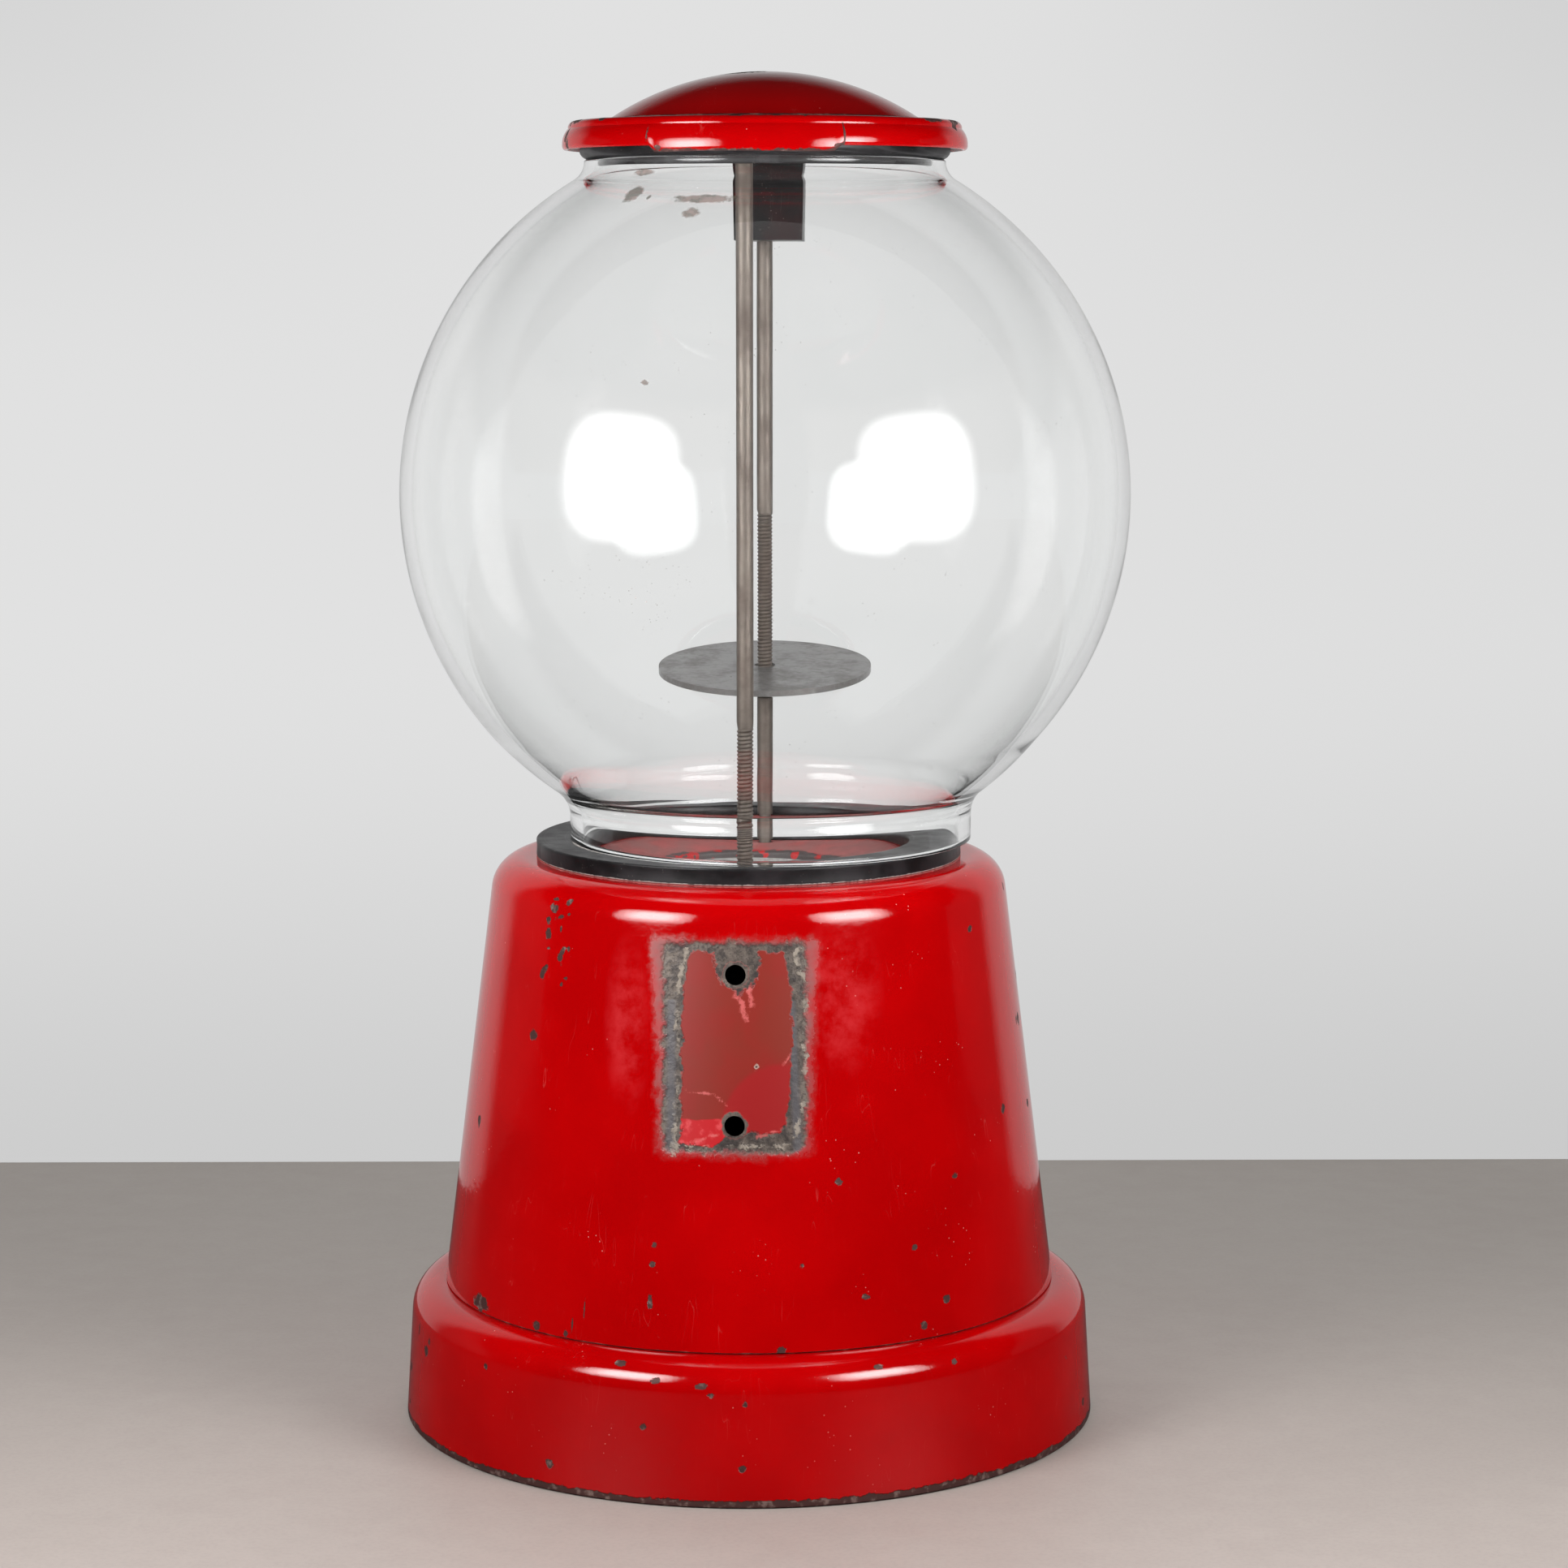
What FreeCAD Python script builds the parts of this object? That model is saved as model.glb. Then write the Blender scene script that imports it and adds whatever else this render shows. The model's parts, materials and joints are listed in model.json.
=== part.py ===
"""Ball vending machine: red enamelled stand, glass globe, lid with lock, coin drive on +Y.

Millimetres, +Z up, origin on the floor under the middle of the stand. The side with the bare
two-hole pad faces -Y.
"""
import FreeCAD
import Part
import math
import os

V = FreeCAD.Vector

# stand
BASE_R = 101.6
BASE_TOP = 39.7
BASE_LEAN = 0.062
BASE_ROUND = 9.0
BODY_R = 89.75
BODY_TOP = 165.3
BODY_LEAN = 0.1256
BODY_ROUND = 10.0
SHEET = 1.8
DISH_R = 46.0
THROAT_R = 30.0
THROAT_TOP = 161.0

# pad for a bracket on the plain side
PAD_Z = (102.0, 143.1)
PAD_HOLE_R = 2.85

# globe, gaskets and lid, which stand a little to one side of the stand
SHIFT = 4.9
GASKET_R = (47.0, 62.0)
GASKET_TOP = 170.2
GLOBE_R = 105.3
GLOBE_Z = 269.8
GLASS = 3.6
FOOT_R = 58.5
FOOT_ROUND = 10.0
NECK_R = 51.7
NECK_ROUND = 6.0
NECK_TOP = 365.5
LID_LOW_R = 57.1
LID_LOW = 368.2
LID_RIM_R = 55.4
LID_RIM = 376.3
DOME_R = 80.0
DOME_TOP = 390.4
LID_SHEET = 1.5

# tie rods and baffle disc
ROD_R = 2.38
FRONT_ROD = (1.0, -40.0)
REAR_ROD = (3.0, 40.0)
ROD_LOW = 145.0
DISC_R = 32.2
DISC_Z = 215.5
DISC_TILT = 7.4

# lock
LOCK = (SHIFT, 29.0)
CASE_LOW = 343.2
PLUG_R = 5.0

# dispensing wheel and its drive
POCKETS = 6
POCKET_R = 8.2
POCKET_AT = 18.5
WHEEL_R = 35.5
WHEEL_Z = (131.0, 143.0)
OUTLET = 150.0
SPINDLE_Z = 116.0
SPINDLE_R = 3.2
MODULE = 1.9
PINION_TEETH = 12
GEAR_TEETH = 36
FACE = 4.8
ADDENDUM = 1.5
DEDENDUM = 2.2
THINNED = 0.3
BRIDGE_TURN = 30.0

# coin head
HEAD_R = 31.0
HEAD_FRONT = 91.0
COIN_SEAT_R = 9.75
COIN_SEAT_AT = 13.1
COIN_WHEEL_R = 22.6
COIN_ROOM_R = 23.2
HEAD_SCREW_X = 27.0

# chute and flap
CHUTE_END = (0.0, 84.0)
CHUTE_LOW = 51.0
CHUTE_SLOPE = math.tan(math.radians(26.0))
CHUTE_HALF = 11.0
MOUTH_HALF = 13.0
MOUTH_Z = (50.0, 75.0)
FLAP_PIN = (91.0, 79.0)


def save(name, *solids):
    """Write one piece, or one group of equal pieces, as a STEP file."""
    shape = solids[0] if len(solids) == 1 else Part.makeCompound(list(solids))
    shape.exportStep(os.path.join("parts", name + ".step"))


def outline(start, *steps):
    """Closed face in the XZ plane; a step is an end point, or a pair (point on arc, end point)."""
    edges = []
    here = start
    for step in steps + (start,):
        ends = [V(here[0], 0, here[1])]
        if isinstance(step[0], tuple):
            ends += [V(p[0], 0, p[1]) for p in step]
            edges.append(Part.Arc(*ends).toShape())
            here = step[1]
        elif step != here:
            ends.append(V(step[0], 0, step[1]))
            edges.append(Part.LineSegment(*ends).toShape())
            here = step
    return Part.Face(Part.Wire(edges))


def turned(face, x=0.0, y=0.0):
    """Solid of revolution of an XZ outline about the vertical through (x, y)."""
    solid = face.revolve(V(0, 0, 0), V(0, 0, 1), 360)
    solid.translate(V(x, y, 0))
    return solid


def upright(r, low, high, at=(0.0, 0.0)):
    return Part.makeCylinder(r, high - low, V(at[0], at[1], low))


def along_y(r, low, high, x=0.0, z=SPINDLE_Z):
    return Part.makeCylinder(r, high - low, V(x, low, z), V(0, 1, 0))


def along_x(r, low, high, y, z):
    return Part.makeCylinder(r, high - low, V(low, y, z), V(1, 0, 0))


def block(x, y, z):
    return Part.makeBox(x[1] - x[0], y[1] - y[0], z[1] - z[0], V(x[0], y[0], z[0]))


def hexagon(flats, low, high, at):
    """Upright hexagonal prism."""
    r = flats / math.sqrt(3)
    corners = [
        V(at[0] + r * math.cos(k * math.pi / 3), at[1] + r * math.sin(k * math.pi / 3), low)
        for k in range(7)
    ]
    return Part.Face(Part.makePolygon(corners)).extrude(V(0, 0, high - low))


def shoulder(r_low, z_low, lean, top, radius):
    """Arc between a leaning side and a flat top: its start, middle and end in (r, z)."""
    tilt = math.atan(lean)
    zc = top - radius
    rc = r_low - lean * (zc - z_low) - radius / math.cos(tilt)
    middle = (tilt + math.pi / 2) / 2
    return [
        (rc + radius * math.cos(a), zc + radius * math.sin(a)) for a in (tilt, middle, math.pi / 2)
    ]


def body_r(z):
    """Outer radius of the cone of the body."""
    return BODY_R - BODY_LEAN * (z - BASE_TOP)


def cone(inward=0.0):
    """The body's cone, moved inward, as a solid."""
    low, high = 20.0, 190.0
    return Part.makeCone(body_r(low) - inward, body_r(high) - inward, high - low, V(0, 0, low))


def turn_z(solid, degrees):
    copy = solid.copy()
    copy.rotate(V(0, 0, 0), V(0, 0, 1), degrees)
    return copy


def polar(r, degrees):
    a = math.radians(degrees)
    return (r * math.cos(a), r * math.sin(a))


def base_skirt():
    """Flared skirt with a ledge for the bottom plate and a lip that centres the body."""
    a, b, c = shoulder(BASE_R, 0.0, BASE_LEAN, BASE_TOP, BASE_ROUND)
    t = SHEET
    p, q, r = shoulder(BASE_R - t, 0.0, BASE_LEAN, BASE_TOP - t, BASE_ROUND - t)
    lip = BODY_R - t - 0.4
    inner = BASE_R - t
    return turned(
        outline(
            (inner, 0.0),
            (BASE_R, 0.0),
            a,
            (b, c),
            (lip, BASE_TOP),
            (lip - 0.6, 45.0),
            (lip - 2.2, 45.0),
            (lip - 2.2, BASE_TOP - t),
            r,
            (q, p),
            (inner - BASE_LEAN * 6.5, 6.5),
            (90.0, 6.5),
            (90.0, 4.7),
            (inner - BASE_LEAN * 4.7, 4.7),
        )
    )


def bottom_plate():
    """Plate under the skirt's ledge, raised in the middle for the wing nut."""
    plate = turned(
        outline(
            (0.0, 19.8),
            (0.0, 18.0),
            (41.0, 18.0),
            (48.0, 2.9),
            (98.0, 2.9),
            (98.0, 4.7),
            (49.2, 4.7),
            (42.2, 19.8),
        )
    )
    return plate.cut(upright(3.0, 0, 30))


def body_shell():
    """Conical body with rounded shoulder, dished top and throat."""
    a, b, c = shoulder(BODY_R, BASE_TOP, BODY_LEAN, BODY_TOP, BODY_ROUND)
    t = SHEET
    p, q, r = shoulder(BODY_R - t, BASE_TOP, BODY_LEAN, BODY_TOP - t, BODY_ROUND - t)
    shell = turned(
        outline(
            (BODY_R - t, BASE_TOP),
            (BODY_R, BASE_TOP),
            a,
            (b, c),
            (DISH_R, BODY_TOP),
            (THROAT_R, THROAT_TOP),
            (THROAT_R, THROAT_TOP - t),
            (DISH_R, BODY_TOP - t),
            r,
            (q, p),
        )
    )
    tilt = math.atan(BODY_LEAN)
    outward = V(0, -math.cos(tilt), math.sin(tilt))
    for z in PAD_Z:
        mouth = V(0, -body_r(z), z)
        shell = shell.cut(Part.makeCylinder(PAD_HOLE_R, 20, mouth - outward * 10, outward))
    for at in (FRONT_ROD, REAR_ROD):
        shell = shell.cut(upright(ROD_R, 150, 170, at))
    shell = shell.cut(along_y(COIN_ROOM_R, 60, 100))
    for x in (-HEAD_SCREW_X, HEAD_SCREW_X):
        shell = shell.cut(along_y(1.8, 60, 100, x))
    for x in (-16.0, 16.0):
        shell = shell.cut(along_y(1.5, 60, 100, x, 64.0))
    return shell.cut(block((-MOUTH_HALF, MOUTH_HALF), (60, 100), MOUTH_Z))


def globe():
    """Blown globe of even wall, drawn in to a straight foot ring below and a short neck above."""

    def flare(neck, round_r, sign, wall=0.0):
        """Round between globe and neck, moved inward by wall: end on the neck, middle, end on the globe."""
        reach = GLOBE_R + round_r
        rc = neck + round_r
        zc = GLOBE_Z + sign * math.sqrt(reach**2 - rc**2)
        share = (GLOBE_R - wall) / reach
        on_globe = (rc * share, GLOBE_Z + (zc - GLOBE_Z) * share)
        away = math.atan2(on_globe[1] - zc, on_globe[0] - rc)
        turn = math.pi - abs(away) if sign > 0 else abs(math.pi - away)
        half = math.pi + sign * turn / 2
        radius = round_r + wall
        return (neck - wall, zc), (rc + radius * math.cos(half), zc + radius * math.sin(half)), on_globe

    low, low_mid, low_on = flare(FOOT_R, FOOT_ROUND, -1)
    top, top_mid, top_on = flare(NECK_R, NECK_ROUND, 1)
    low_in, low_mid_in, low_on_in = flare(FOOT_R, FOOT_ROUND, -1, GLASS)
    top_in, top_mid_in, top_on_in = flare(NECK_R, NECK_ROUND, 1, GLASS)
    return turned(
        outline(
            (FOOT_R - GLASS, GASKET_TOP),
            (FOOT_R - 1.0, GASKET_TOP),
            ((FOOT_R - 0.3, GASKET_TOP + 0.3), (FOOT_R, GASKET_TOP + 1.0)),
            low,
            (low_mid, low_on),
            ((GLOBE_R, GLOBE_Z), top_on),
            (top_mid, top),
            (NECK_R - 0.5, NECK_TOP),
            (NECK_R - GLASS + 0.5, NECK_TOP),
            top_in,
            (top_mid_in, top_on_in),
            ((GLOBE_R - GLASS, GLOBE_Z), low_on_in),
            (low_mid_in, low_in),
        ),
        SHIFT,
    )


def lid_dome(sheet=0.0):
    """Ball of which the lid's dome is the cap, made smaller by a sheet thickness."""
    return Part.makeSphere(DOME_R - sheet, V(SHIFT, 0, DOME_TOP - DOME_R))


def lid_shell():
    """Pressed lid: shallow dome, flat ledge and a flared rim."""
    t = LID_SHEET

    def dome(r, radius):
        return (r, DOME_TOP - DOME_R + math.sqrt(radius**2 - r**2))

    foot = math.sqrt(DOME_R**2 - (LID_RIM + DOME_R - DOME_TOP) ** 2)
    under = DOME_R - t
    foot_in = math.sqrt(under**2 - (LID_RIM - t + DOME_R - DOME_TOP) ** 2)
    shell = turned(
        outline(
            (0.0, DOME_TOP - t),
            (0.0, DOME_TOP),
            (dome(foot / 2, DOME_R), (foot, LID_RIM)),
            (LID_RIM_R - 2.0, LID_RIM),
            ((LID_RIM_R - 0.5, LID_RIM - 0.7), (LID_RIM_R, LID_RIM - 2.2)),
            (LID_LOW_R, LID_LOW + 0.6),
            (LID_LOW_R, LID_LOW),
            (LID_LOW_R - t, LID_LOW),
            (LID_RIM_R - t, LID_RIM - 3.0),
            (LID_RIM_R - 2 * t, LID_RIM - t),
            (foot_in, LID_RIM - t),
            (dome(foot_in / 2, under), (0.0, DOME_TOP - t)),
        ),
        SHIFT,
    )
    return shell.cut(upright(8.0, 340, 400, LOCK))


def lid_gasket():
    """Thick rubber ring between the glass and the lid, bevelled below."""
    return turned(
        outline(
            (44.5, NECK_TOP),
            (51.0, NECK_TOP),
            (53.0, NECK_TOP + 2.6),
            (52.3, LID_RIM - LID_SHEET),
            (45.5, LID_RIM - LID_SHEET),
        ),
        SHIFT,
    )


def lock_case():
    """Case under the lid round the lock barrel, with a room for the cam and a way in for the rod."""
    x0, y0 = SHIFT - 10.8, 18.5
    low = Part.makePolygon(
        [
            V(x0 + 0.8, y0 + 0.8, CASE_LOW),
            V(x0 + 20.8, y0 + 0.8, CASE_LOW),
            V(x0 + 20.8, y0 + 24.7, CASE_LOW),
            V(x0 + 0.8, y0 + 24.7, CASE_LOW),
            V(x0 + 0.8, y0 + 0.8, CASE_LOW),
        ]
    )
    top = Part.makePolygon(
        [
            V(x0, y0, 384),
            V(x0 + 21.6, y0, 384),
            V(x0 + 21.6, y0 + 25.5, 384),
            V(x0, y0 + 25.5, 384),
            V(x0, y0, 384),
        ]
    )
    case = Part.makeLoft([low, top], True, True).common(lid_dome(LID_SHEET))
    edge = upright(44.2, 330, 400, (SHIFT, 0.0))
    case = case.common(edge)
    case = case.cut(upright(8.0, 354, 400, LOCK))
    case = case.cut(upright(9.6, 347.0, 354.0, LOCK))
    return case.cut(upright(3.3, 340, 356, REAR_ROD))


def lock_barrel():
    barrel = upright(8.0, 354, 387.4, LOCK).cut(upright(PLUG_R + 0.05, 350, 390, LOCK))
    collar = upright(10.5, 370, 386.6, LOCK).cut(lid_dome())
    return barrel, collar.cut(upright(8.0, 360, 390, LOCK))


def lock_plug():
    plug = upright(PLUG_R, 352.0, 387.9, LOCK)
    slot = block((LOCK[0] - 0.7, LOCK[0] + 0.7), (LOCK[1] - 3.6, LOCK[1] + 3.6), (384.5, 390))
    return plug.cut(slot)


def lock_cam():
    """Cam under the plug: a lobe that reaches into the rod's groove after a quarter turn."""
    lobe = upright(9.3, 349.6, 351.4, LOCK)
    side = block((LOCK[0] - 20, LOCK[0] + 0.5), (LOCK[1] - 4.0, LOCK[1] + 4.0), (340, 360))
    cam = lobe.common(side).fuse(upright(4.6, 349.6, 352.0, LOCK))
    return cam.removeSplitter()


def tie_rod(at, top, tail):
    """Steel rod with a thinner tail that takes the nut under the frame."""
    rod = upright(ROD_R, tail, top - 0.8, at)
    tip = Part.makeCone(ROD_R, ROD_R - 0.8, 0.8, V(at[0], at[1], top - 0.8))
    return rod.fuse(tip)


def rear_rod():
    """Rear rod with a latch groove near its top and a shoulder above the dish."""
    rod = tie_rod(REAR_ROD, 354.0, 168.0).fuse(upright(1.8, ROD_LOW, 168.0, REAR_ROD))
    ring = upright(ROD_R + 1, 348.9, 352.1, REAR_ROD).cut(upright(1.5, 348.0, 353.0, REAR_ROD))
    return rod.cut(ring).removeSplitter()


def baffle_disc():
    """Thin tilted disc with a turned-down edge, loose on the threaded part of the rear rod."""
    disc = upright(DISC_R, -0.5, 0.5).fuse(
        upright(DISC_R, -1.3, 0.5).cut(upright(DISC_R - 0.9, -5, 5))
    )
    disc = disc.cut(upright(ROD_R + 0.75, -10, 10)).removeSplitter()
    disc.rotate(V(0, 0, 0), V(1, 0, 0), DISC_TILT)
    disc.translate(V(REAR_ROD[0], REAR_ROD[1], DISC_Z))
    return disc


def frame():
    """Casting under the dish: flange and throat collar, two legs and a bridge for the wheel post."""
    under = SHEET
    ring = turned(
        outline(
            (THROAT_R, THROAT_TOP - under),
            (DISH_R, BODY_TOP - under),
            (DISH_R, 154.0),
            (34.5, 154.0),
            (33.0, 152.5),
            (33.0, WHEEL_Z[1] + 0.5),
            (THROAT_R, WHEEL_Z[1] + 0.5),
        )
    )
    leg = block((38.0, 44.0), (-5.0, 5.0), (102.0, 156.0))
    bridge = block((-44.0, 44.0), (-5.0, 5.0), (102.0, 107.0)).fuse(upright(8.0, 102.0, 107.0))
    arms = [leg, turn_z(leg, 180), bridge]
    casting = ring
    for arm in arms:
        casting = casting.fuse(turn_z(arm, BRIDGE_TURN))
    casting = casting.cut(upright(4.0, 90, 120))
    casting = casting.cut(upright(ROD_R, 140, 170, FRONT_ROD))
    casting = casting.cut(upright(1.8, 140, 170, REAR_ROD))
    return casting.removeSplitter()


def wheel_post():
    """Shouldered post through the bridge: seat for the floor plate, journal for the wheel."""
    return turned(
        outline(
            (0.0, 98.0),
            (4.0, 98.0),
            (4.0, 107.0),
            (5.5, 107.0),
            (5.5, 128.0),
            (4.0, 128.0),
            (4.0, 147.0),
            (0.0, 147.0),
        )
    )


def floor_plate():
    """Fixed plate under the wheel with one outlet hole."""
    plate = upright(28.6, 128.0, 130.0).cut(upright(4.0, 120, 140))
    return plate.cut(upright(9.0, 120, 140, polar(POCKET_AT, OUTLET)))


def ball_guard():
    """Sector over the pocket that stands at the outlet."""
    ring = upright(THROAT_R, 146.6, 148.2).cut(upright(9.0, 140, 150))
    keep = Part.makePolygon([V(0, 0, 140), V(-20, 60, 140), V(-60, 8, 140), V(0, 0, 140)])
    return ring.common(Part.Face(keep).extrude(V(0, 0, 20)))


def dispensing_wheel():
    """Wheel with a ring of ball pockets."""
    wheel = upright(WHEEL_R, *WHEEL_Z)
    wheel = wheel.cut(upright(4.05, 120, 150))
    for k in range(POCKETS):
        at = polar(POCKET_AT, OUTLET + 360.0 / POCKETS * k)
        wheel = wheel.cut(upright(POCKET_R, 120, 150, at))
    return wheel


def gear_geometry():
    """Cone distance and the unit vectors (radial, axial) along and across the pitch line."""
    r2 = MODULE * GEAR_TEETH / 2
    r1 = MODULE * PINION_TEETH / 2
    distance = math.hypot(r1, r2)
    return r1, r2, distance, (distance - FACE) / distance


def tooth_solid(points, apex, small):
    """Tooth between a profile at the large end and the same profile shrunk towards the apex."""
    wires = []
    for scale in (1.0, small):
        at = [apex + (p - apex) * scale for p in points]
        wires.append(Part.makePolygon(at + [at[0]]))
    return Part.makeLoft(wires, True, True)


def wheel_gear():
    """Bevel ring under the wheel, straight-sided teeth of 20 degrees."""
    r1, r2, distance, small = gear_geometry()
    apex = V(0, 0, SPINDLE_Z)
    across = V(r1 / distance, 0, -r2 / distance)
    outer = V(r2, 0, SPINDLE_Z + r1)
    side = V(0, 1, 0)
    half = math.pi * MODULE / 4 - THINNED / 2

    def at(height, sign):
        return outer + across * height + side * (sign * (half - height * math.tan(math.radians(20))))

    root = DEDENDUM + 0.5
    profile = [at(-root, -1), at(ADDENDUM, -1), at(ADDENDUM, 1), at(-root, 1)]
    tooth = tooth_solid(profile, apex, small)
    far = outer - across * DEDENDUM
    near = apex + (far - apex) * small
    ring = turned(
        outline(
            (near.x, near.z),
            (far.x, far.z),
            (far.x + 0.5, WHEEL_Z[0]),
            (near.x, WHEEL_Z[0]),
        )
    )
    step = 360.0 / GEAR_TEETH
    teeth = [turn_z(tooth, step * (k + 0.5)) for k in range(GEAR_TEETH)]
    return ring.multiFuse(teeth).removeSplitter()


def pinion():
    """Bevel pinion on the spindle, involute teeth drawn on the back cone."""
    r1, r2, distance, small = gear_geometry()
    apex = V(0, 0, SPINDLE_Z)
    across = V(0, -r1 / distance, r2 / distance)
    outer = V(0, r2, SPINDLE_Z + r1)
    back = r1 * distance / r2
    base = back * math.cos(math.radians(20))
    half = (math.pi * MODULE / 2 - THINNED) / 2 / back

    def inv(a):
        return math.tan(a) - a

    def at(radius, sign):
        angle = half + inv(math.radians(20))
        if radius > base:
            angle -= inv(math.acos(base / radius))
        flat = V(sign, 0, 0) * (radius * math.sin(angle))
        return outer + flat + across * (radius * math.cos(angle) - back)

    tip = back + ADDENDUM
    radii = [back - DEDENDUM - 0.5, base, (base + tip) / 2, tip]
    profile = [at(r, -1) for r in radii] + [at(r, 1) for r in reversed(radii)]
    tooth = tooth_solid(profile, apex, small)
    far = outer - across * DEDENDUM
    near = apex + (far - apex) * small
    core = Part.makeCone(
        near.z - SPINDLE_Z,
        far.z - SPINDLE_Z,
        far.y - near.y,
        V(0, near.y, SPINDLE_Z),
        V(0, 1, 0),
    )
    core = core.fuse(along_y(7.0, far.y, far.y + 7.0))
    teeth = []
    for k in range(PINION_TEETH):
        one = tooth.copy()
        one.rotate(apex, V(0, 1, 0), 360.0 / PINION_TEETH * k)
        teeth.append(one)
    return core.multiFuse(teeth).cut(along_y(SPINDLE_R, 0, 60)).removeSplitter()


def spindle():
    """Drive spindle from the pinion to the handle, with a collar behind the bracket."""
    return along_y(SPINDLE_R, 27.0, 103.0).fuse(along_y(5.4, 48.0, 51.6)).removeSplitter()


def coin_wheel():
    """Disc with two coin seats that open to the back and to the rim."""
    disc = along_y(COIN_WHEEL_R, 83.6, 87.6)
    for sign in (-1, 1):
        z = SPINDLE_Z + sign * COIN_SEAT_AT
        disc = disc.cut(along_y(COIN_SEAT_R, 80, 86.2, 0.0, z))
        reach = sorted((z, SPINDLE_Z + sign * 30))
        disc = disc.cut(block((-COIN_SEAT_R, COIN_SEAT_R), (80, 86.2), reach))
    return disc.cut(along_y(SPINDLE_R, 70, 100))


def coin_head():
    """Cast head on the outside of the cone with the coin slot on top."""
    head = along_y(HEAD_R, 50, HEAD_FRONT)
    rim = [e for e in head.Edges if abs(e.BoundBox.YMin - HEAD_FRONT) < 0.01 and e.Closed]
    head = head.makeFillet(3.0, rim[:1])
    lip = block((-13.0, 13.0), (76.0, 89.0), (140.0, 150.0))
    head = head.fuse(lip).fuse(along_y(7.5, 85, HEAD_FRONT + 2.5))
    head = head.cut(cone())
    head = head.cut(along_y(COIN_ROOM_R, 50, 88.0))
    head = head.cut(block((-10.2, 10.2), (83.7, 86.2), (125.0, 155.0)))
    head = head.cut(along_y(SPINDLE_R + 0.05, 50, 100))
    for x in (-HEAD_SCREW_X, HEAD_SCREW_X):
        head = head.cut(along_y(1.8, 50, 100, x))
        head = head.cut(along_y(3.3, 89.2, 100, x))
    return head.removeSplitter()


def coin_bracket():
    """Bracket inside the cone with the spindle's bearing and two bosses that reach the wall."""
    plate = block((-32.0, 32.0), (65.0, 68.0), (100.0, 132.0))
    bracket = plate.fuse(along_y(8.0, 52.0, 68.0))
    for x in (-HEAD_SCREW_X, HEAD_SCREW_X):
        bracket = bracket.fuse(along_y(4.2, 66.0, 90.0, x).common(cone(SHEET)))
    bracket = bracket.cut(along_y(5.0, 50, 70))
    for x in (-HEAD_SCREW_X, HEAD_SCREW_X):
        bracket = bracket.cut(along_y(1.8, 50, 100, x))
    return bracket.removeSplitter()


def coin_deflector():
    """Sheet that leads spent coins sideways over the chute."""
    sheet = Part.makePolygon(
        [V(-15, 0, 98), V(-15, 0, 88), V(17, 0, 72), V(17.5, 0, 73), V(-14, 0, 88.6), V(-14, 0, 98)]
        + [V(-15, 0, 98)]
    )
    solid = Part.Face(sheet).extrude(V(0, 14, 0))
    solid.translate(V(0, 63.0, 0))
    tab = block((-15.0, -14.0), (65.0, 68.0), (96.0, 100.0))
    return solid.fuse(tab).removeSplitter()


def head_screws():
    screws = []
    for x in (-HEAD_SCREW_X, HEAD_SCREW_X):
        screw = along_y(1.8, 60.0, 89.2, x).fuse(along_y(3.2, 89.2, 91.2, x))
        slot = block((x - 4, x + 4), (90.6, 92), (SPINDLE_Z - 0.4, SPINDLE_Z + 0.4))
        screws.append(screw.cut(slot))
    return screws


def head_nuts():
    nuts = []
    for x in (-HEAD_SCREW_X, HEAD_SCREW_X):
        nut = hexagon(6.4, 0, 2.8, (0, 0)).cut(upright(1.8, -1, 4))
        nut.rotate(V(0, 0, 0), V(1, 0, 0), -90)
        nut.translate(V(x, 62.2, SPINDLE_Z))
        nuts.append(nut)
    return nuts


def handle():
    """T handle: hub and a rounded bar."""
    hub = along_y(9.0, HEAD_FRONT + 3.0, HEAD_FRONT + 12.0)
    bar = block((-21.0, 21.0), (95.0, 102.0), (SPINDLE_Z - 5.0, SPINDLE_Z + 5.0))
    for x in (-21.0, 21.0):
        bar = bar.fuse(along_y(5.0, 95.0, 102.0, x))
    grip = bar.removeSplitter()
    fronts = [e for e in grip.Edges if abs(e.BoundBox.YMin - 102.0) < 0.01]
    grip = grip.makeFillet(2.0, [e for e in fronts if abs(e.BoundBox.YMax - 102.0) < 0.01])
    return hub.fuse(grip).cut(along_y(SPINDLE_R, 80, 110)).removeSplitter()


def handle_nut():
    nut = along_y(6.0, 103.0, 106.5)
    return nut.makeFillet(1.2, [e for e in nut.Edges if e.BoundBox.YMin > 106.0])


def chute():
    """Sheet trough from the outlet to the mouth, with a drop tube under the outlet."""
    start = polar(POCKET_AT, OUTLET)
    run = math.hypot(CHUTE_END[0] - start[0], CHUTE_END[1] - start[1])
    turn = -math.degrees(math.atan2(CHUTE_END[0] - start[0], CHUTE_END[1] - start[1]))
    t = 1.2

    def floor(y):
        return CHUTE_LOW - y * CHUTE_SLOPE

    back, front = -run - 12.0, -0.8

    def prism(half, shape):
        face = Part.Face(Part.makePolygon([V(-half, y, z) for y, z in shape + shape[:1]]))
        return face.extrude(V(2 * half, 0, 0))

    high = 12.0
    outer = [
        (back - t, floor(back) - t),
        (front, floor(front) - t),
        (front, floor(front) + high),
        (back - t, floor(back) + 5.0),
    ]
    room = [
        (back, floor(back)),
        (front + 5, floor(front + 5)),
        (front + 5, floor(front) + high + 9),
        (back, floor(back) + 30.0),
    ]
    trough = prism(CHUTE_HALF + t, outer).cut(prism(CHUTE_HALF, room))
    trough.translate(V(CHUTE_END[0], CHUTE_END[1], 0))
    trough.rotate(V(CHUTE_END[0], CHUTE_END[1], 0), V(0, 0, 1), turn)
    return trough


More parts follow.
